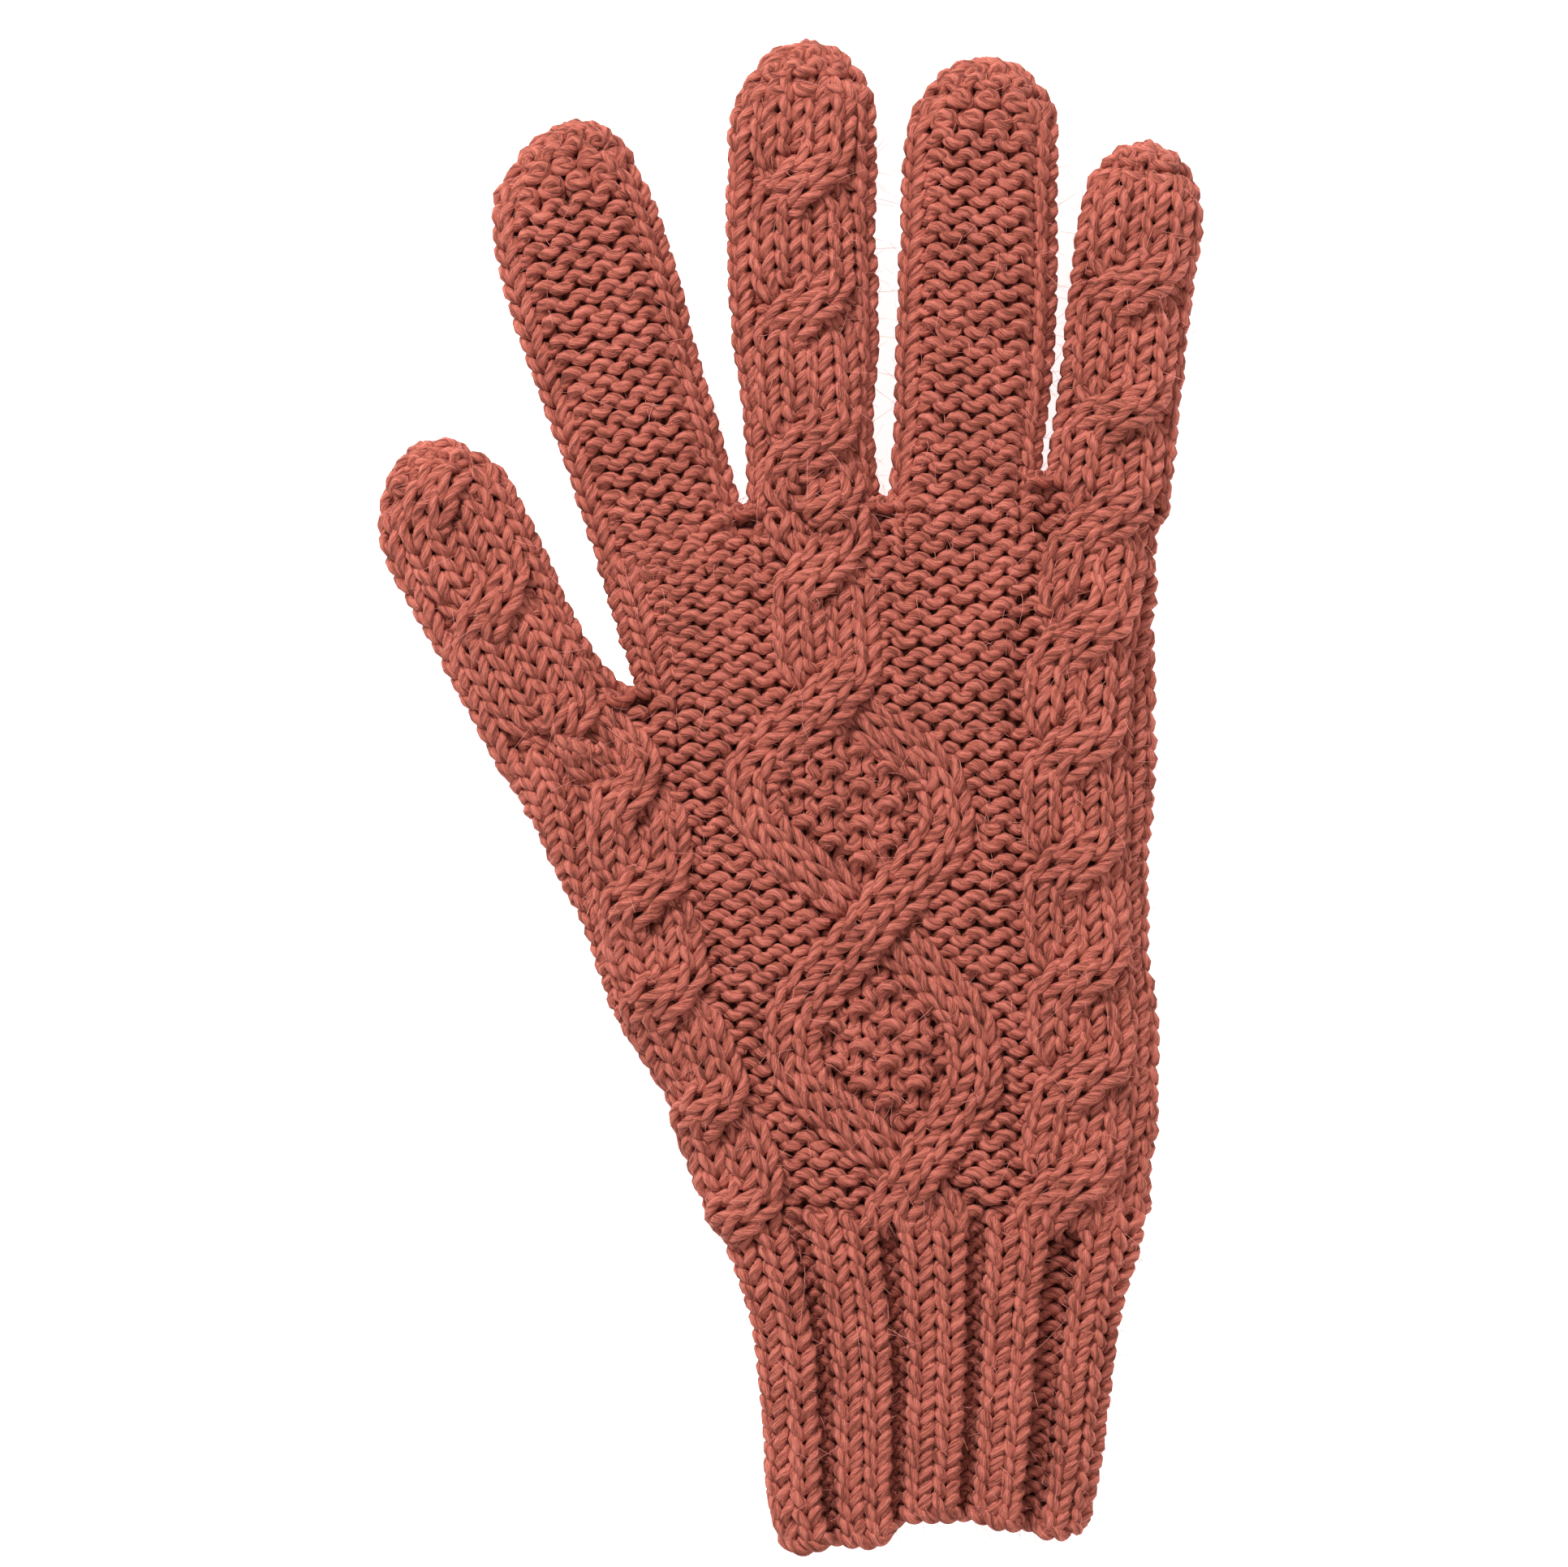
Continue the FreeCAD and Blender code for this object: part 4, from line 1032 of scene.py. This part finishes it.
class GLOVE_OT_cuff(bpy.types.Operator):
    """Knit the ribbed cuff, two knit and one purl, and its cast-on edge"""
    bl_idname = "glove.cuff"
    bl_label = "Knit the cuff"

    def execute(self, context):
        shape = Cuff()
        height = context.scene.glove_gauge.cuff_row / MM
        rows = int(round((WRIST - MOUTH) / height))
        height = (WRIST - MOUTH) / rows
        skeins = {}
        for j in range(rows):
            v = MOUTH + (j + 0.5) * height
            stitches = []
            for r in range(RIBS):
                before, after = (VALLEY_HALF.get(k, USUAL_VALLEY_HALF) for k in ((r - 1) % RIBS, r))
                columns = (before - 0.5, 0.0, 1), (0.0, 0.5 - after, 1), (0.5 - after, 0.5 + after, -1)
                for a, b, sign in columns:
                    line0 = lambda y, f=r + a: shape.round(y) / RIBS * f
                    line1 = lambda y, f=r + b: shape.round(y) / RIBS * f
                    at = (r + (a + b) / 2) % RIBS
                    if min(abs(at - RIBS / 4), abs(at - RIBS * 3 / 4)) < 0.5:
                        piece = "cuff_little_edge_rib" if at < RIBS / 2 else "cuff_thumb_edge_rib"
                    else:
                        layer = "back" if at < RIBS / 4 or at > RIBS * 3 / 4 else "palm"
                        piece = f"cuff_{layer}_" + ("ribs_knit" if sign > 0 else "valleys_purl")
                    stitches.append((line0, line1, sign, piece, 0.0))
            knit_row(shape, j + 50, v, height, stitches, skeins, closed=True, deep=0.9)
        stands_for = {
            "cuff_back_ribs_knit": ["cuff_back_ribs"], "cuff_back_valleys_purl": ["cuff_back_panel"],
            "cuff_palm_ribs_knit": ["cuff_palm_ribs"], "cuff_palm_valleys_purl": ["cuff_palm_panel"],
            "cuff_little_edge_rib": ["cuff_little_edge"], "cuff_thumb_edge_rib": ["cuff_thumb_edge"],
        }
        make_pieces(skeins, stands_for, follow_wrist)

        inner_face("cuff_inner_face", shape, MOUTH + 0.8, WRIST, follow_wrist)

        # cast-on edge: two strands twisted around each other along the mouth
        edge = Skein()
        half_turns, across, deep = RIBS * 4, 0.85, 0.75
        t = np.linspace(0, 1, half_turns * 10, endpoint=False)
        for strand in (0, math.pi):
            twist = 2 * math.pi * half_turns / 2 * t + strand
            v, proud = MOUTH - 0.3 + across * np.cos(twist), deep * np.sin(twist)
            point, normal, _ = shape.place(lambda q: t * shape.round(q), v, -0.1 + proud)
            # painted shade: proud, the strand's height over the edge, darkens the part of each strand that turns
            # inwards
            edge.add(point, normal, proud, True, 1.02)
        make_pieces({"cast_on_edge_twist": edge}, {"cast_on_edge_twist": ["cast_on_edge"]}, follow_wrist)
        return {"FINISHED"}


# ---- thumb and fingers

BEND_BEFORE, BEND_AFTER = 8.5, 9.0  # how much of a finger's fabric turns with a joint


class GLOVE_OT_fingers(bpy.types.Operator):
    """Knit the thumb and the four fingers with their cables and drawn-in tips"""
    bl_idname = "glove.fingers"
    bl_label = "Knit thumb and fingers"

    def execute(self, context):
        row = context.scene.glove_gauge.row / MM
        wale = context.scene.glove_gauge.cable_wale / MM
        for number, name in enumerate(FINGERS):
            shape = Finger(name)
            total = shape.shaft + shape.cap
            rows = int(round(total / row))
            height = total / rows
            split_at = shape.split - shape.root
            skeins, cabled = {}, name in FINGER_CABLES
            for j in range(-1, rows):
                v = (j + 0.5) * height
                bow = float(shape.bow(v))
                wales = shape.wales
                if bow > 0.35:
                    wales = max(4, int(round(shape.wales * math.cos(bow) ** 0.8)))
                if float(shape.reach(v)) < shape.split:
                    piece = name + "_lower_knit"
                elif bow < 0.2:
                    piece = name + "_upper_knit"
                else:
                    piece = name + "_tip_knit"
                stitches = []
                for k in range(wales):
                    line0 = lambda q, k=k: shape.round(q) * (k / wales - 0.5)
                    line1 = lambda q, k=k: shape.round(q) * ((k + 1) / wales - 0.5)
                    middle = abs((k + 0.5) / wales - 0.5)
                    purl = middle < 0.17
                    sink = (1.7 if middle < 0.12 else 1.1) if cabled and purl and bow < 0.6 else 0.0
                    stitches.append((line0, line1, -1 if purl else 1, piece, -sink))
                knit_row(shape, j + 100 * (number + 1), v, height, stitches, skeins, closed=True,
                         deep=0.93 * (1 - 0.25 * min(1.0, bow)))
            stands_for = {
                name + "_lower_knit": [name + "_lower_tube", name + "_knuckle_band"],
                name + "_upper_knit": [name + "_upper_tube", name + "_middle_band"],
                name + "_tip_knit": [name + "_tip"],
            }
            if cabled:
                crossings = [c - shape.root for c in FINGER_CABLES[name]]
                first = 1 if name == "middle" else -1
                swing, signs = square_wave(crossings, wale * STRAND_SWING, first=first)
                end = shape.shaft + shape.cap * 0.42
                centre = lambda q: 0.0 * q
                for part, low, high in (("lower", 0.0, split_at), ("upper", split_at, end)):
                    piece = f"{name}_{part}_cable_rope"
                    skeins[piece] = Skein()
                    rope(shape, low, high, row, centre, swing, signs, skeins[piece], phase=number * 3,
                         fade=lambda q: -1.3 * smooth((q - shape.shaft) / (shape.cap * 0.45)))
                    stands_for[piece] = [f"{name}_{part}_cable"]
            self.close_tip(shape, skeins[name + "_tip_knit"])

            def follow(obj, shape=shape, name=name):
                lower = "_lower_" in obj.name
                at = 0.0 if lower else shape.bend
                a, b = ("hand", name + "_lower") if lower else (name + "_lower", name + "_upper")
                if "_tip_" in obj.name:
                    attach(obj, name + "_upper")
                    return
                start = shape.knuckle + (at - BEND_BEFORE) * shape.along
                end = shape.knuckle + (at + BEND_AFTER) * shape.along
                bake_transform(obj, a, b, start=(*(start * MM), TABLE_TO_AXIS), end=(*(end * MM), TABLE_TO_AXIS))
            make_pieces(skeins, stands_for, follow)
            inner_face(name + "_lower_inner_face", shape, 0.5, split_at, follow)
            inner_face(name + "_upper_inner_face", shape, split_at, total - 1.6, follow)
        return {"FINISHED"}

    def close_tip(self, shape, skein):
        """The yarn end is drawn through the last loops and pulled tight in a small coil."""
        t = np.linspace(0, 1, 40)
        spin = 2 * math.pi * 1.75 * t
        reach = 1.9 * (1 - 0.75 * t)
        forward = shape.length - 1.9 + 0.6 * t
        side = reach * np.cos(spin) + float(shape.aside(shape.length))
        flat = shape.knuckle + side[:, None] * shape.across + forward[:, None] * shape.along
        point = np.column_stack([flat, FINGER_LEVEL + 0.8 * reach * np.sin(spin)])
        normal = np.tile(np.array([*shape.along, 0.0]), (len(t), 1))
        skein.add(point, normal, np.full(len(t), 0.8))


# ---- loose fibres

FIBRE_LENGTH = (1.2, 4.2)
FIBRE_RADIUS = 0.042


class GLOVE_OT_fibres(bpy.types.Operator):
    """Let fine loose fibres stand out of the wool"""
    bl_idname = "glove.fibres"
    bl_label = "Raise loose fibres"

    def execute(self, context):
        count = context.scene.glove_yarn.loose_fibres
        made = [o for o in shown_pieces() if "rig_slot" in o and o.type == "MESH" and "inner_face" not in o.name]
        rng = np.random.default_rng(731)
        sizes = np.array([len(o.data.vertices) for o in made], float)
        shares = np.maximum(8, (count * sizes / sizes.sum()).astype(int))
        for host, share in zip(made, shares):
            self.raise_on(host, int(share), rng)
        return {"FINISHED"}

    def raise_on(self, host, count, rng):
        mesh = host.data
        total = len(mesh.vertices)
        place = np.zeros(total * 3, np.float32)
        normal = np.zeros(total * 3, np.float32)
        mesh.vertices.foreach_get("co", place)
        mesh.vertices.foreach_get("normal", normal)
        place, normal = place.reshape(-1, 3) / MM, normal.reshape(-1, 3)
        pick = rng.integers(0, total, count)
        start, out = place[pick].astype(float), normal[pick].astype(float)
        length = rng.uniform(*FIBRE_LENGTH, count) * np.where(rng.random(count) < 0.06, 1.5, 1.0)
        wild = rng.normal(size=(count, 3))
        first = out + 1.2 * wild
        first /= np.linalg.norm(first, axis=1)[:, None]
        bend = rng.normal(size=(count, 3)) * 1.3
        rings, corners = 5, 3
        each = rings * corners
        steps = np.linspace(0, 1, rings)[None, :, None]
        line = start[:, None] - 0.25 * first[:, None] + length[:, None, None] * (
            steps * first[:, None] + steps ** 2 * 0.45 * bend[:, None])
        line[:, :, 2] = np.maximum(line[:, :, 2], 0.05)
        a = np.cross(first, np.array([0.3, 0.5, 0.81]))
        a /= np.linalg.norm(a, axis=1)[:, None]
        b = np.cross(first, a)
        turn = (np.arange(corners) * 2 * math.pi / corners)[None, None, :, None]
        ring = line[:, :, None] + (FIBRE_RADIUS * (1 - 0.45 * steps))[..., None] * (
            np.cos(turn) * a[:, None, None] + np.sin(turn) * b[:, None, None])
        verts = ring.reshape(-1, 3) * MM
        sides = [(i * corners + k, i * corners + (k + 1) % corners)
                 for i in range(rings - 1) for k in range(corners)]
        faces = np.array([[p, q, q + corners, p + corners] for p, q in sides])
        offset = (np.arange(count) * each)[:, None, None]
        quads = (faces[None] + offset).reshape(-1, 4)
        ends = np.concatenate([np.array([face]) + offset[:, 0] for face in ([0, 2, 1], [12, 13, 14])])
        made = bpy.data.meshes.new(host.name + "_fuzz")
        made.from_pydata(verts.tolist(), [], quads.tolist() + ends.tolist())
        made.update()
        obj = new_piece(host.name + "_fuzz", made, shared("Loose wool fibres", fibre_material))
        if "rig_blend" in host:
            weights = np.zeros(total, np.float32)
            host.data.attributes["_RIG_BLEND"].data.foreach_get("value", weights)
            bodies = list(host["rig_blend"])
            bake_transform(obj, bodies[0], bodies[1], start=(0, 0, 0), end=(0, 0.001, 0))
            held = np.repeat(weights[pick], each)
            made.attributes["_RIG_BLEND"].data.foreach_set("value", held.astype(np.float32))
        else:
            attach(obj, host["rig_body"])


# ---- stage

class GLOVE_OT_stage(bpy.types.Operator):
    """Lay out the pale floor, the soft lights and the camera"""
    bl_idname = "glove.stage"
    bl_label = "Set the stage"

    def execute(self, context):
        scene = context.scene
        bpy.ops.mesh.primitive_plane_add(size=3.0, location=(0, 0, -0.0004))
        floor = context.active_object
        floor.name = "studio_floor"
        floor.data.materials.append(shared("White board", board_material))
        floor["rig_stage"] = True

        world = bpy.data.worlds.new("Soft room")
        world.use_nodes = True
        sky = world.node_tree.nodes["Background"]
        sky.inputs["Color"].default_value = (1.0, 1.0, 1.0, 1)
        sky.inputs["Strength"].default_value = 0.5
        scene.world = world
        for name, place, size, power in (
                ("key", (-0.45, 0.95, 0.85), 0.35, 18.0), ("fill", (0.7, -0.5, 0.9), 0.9, 3.0)):
            bpy.ops.object.light_add(type="AREA", location=place)
            lamp = context.active_object
            lamp.name = name + "_softbox"
            lamp.data.energy = power
            lamp.data.size = size
            away = np.array(place) - np.array([0, 0, 0.01])
            turn = math.atan2(away[1], away[0])
            tilt = math.atan2(math.hypot(away[0], away[1]), away[2])
            lamp.rotation_euler = (0, tilt, turn)
        distance, width = 1.5, 0.2512
        bpy.ops.object.camera_add(location=(0.0, 0.0013, distance + 0.008), rotation=(0, 0, 0))
        camera = context.active_object
        camera.name = "overhead_camera"
        camera.data.sensor_width = 36.0
        camera.data.lens = 36.0 * distance / width
        camera.data.clip_end = 20.0
        scene.camera = camera
        scene.view_settings.view_transform = "Standard"
        scene.view_settings.look = "None"
        return {"FINISHED"}


# ---- panel and registration

STEPS_IN_ORDER = (
    GLOVE_OT_hand, GLOVE_OT_hand_cables, GLOVE_OT_cuff, GLOVE_OT_fingers, GLOVE_OT_fibres, GLOVE_OT_stage,
)


class GLOVE_PT_panel(bpy.types.Panel):
    """The glove's sizes and its knitting steps"""
    bl_idname = "GLOVE_PT_panel"
    bl_label = "Cable-knit glove"
    bl_space_type = "VIEW_3D"
    bl_region_type = "UI"
    bl_category = "Glove"

    def draw(self, context):
        for group in (context.scene.glove_yarn, context.scene.glove_gauge):
            box = self.layout.box()
            for name in group.bl_rna.properties.keys():
                if name not in ("rna_type", "name"):
                    box.prop(group, name)
        for step in STEPS_IN_ORDER:
            self.layout.operator(step.bl_idname)


CLASSES = (GLOVE_PG_yarn, GLOVE_PG_gauge, *STEPS_IN_ORDER, GLOVE_PT_panel)


def register():
    for cls in CLASSES:
        bpy.utils.register_class(cls)
    bpy.types.Scene.glove_yarn = bpy.props.PointerProperty(type=GLOVE_PG_yarn)
    bpy.types.Scene.glove_gauge = bpy.props.PointerProperty(type=GLOVE_PG_gauge)


def unregister():
    del bpy.types.Scene.glove_gauge
    del bpy.types.Scene.glove_yarn
    for cls in reversed(CLASSES):
        bpy.utils.unregister_class(cls)


def main():
    register()
    bpy.ops.object.select_all(action="DESELECT")
    for step in STEPS_IN_ORDER:
        module, name = step.bl_idname.split(".")
        getattr(getattr(bpy.ops, module), name)()


if __name__ == "__main__":
    main()
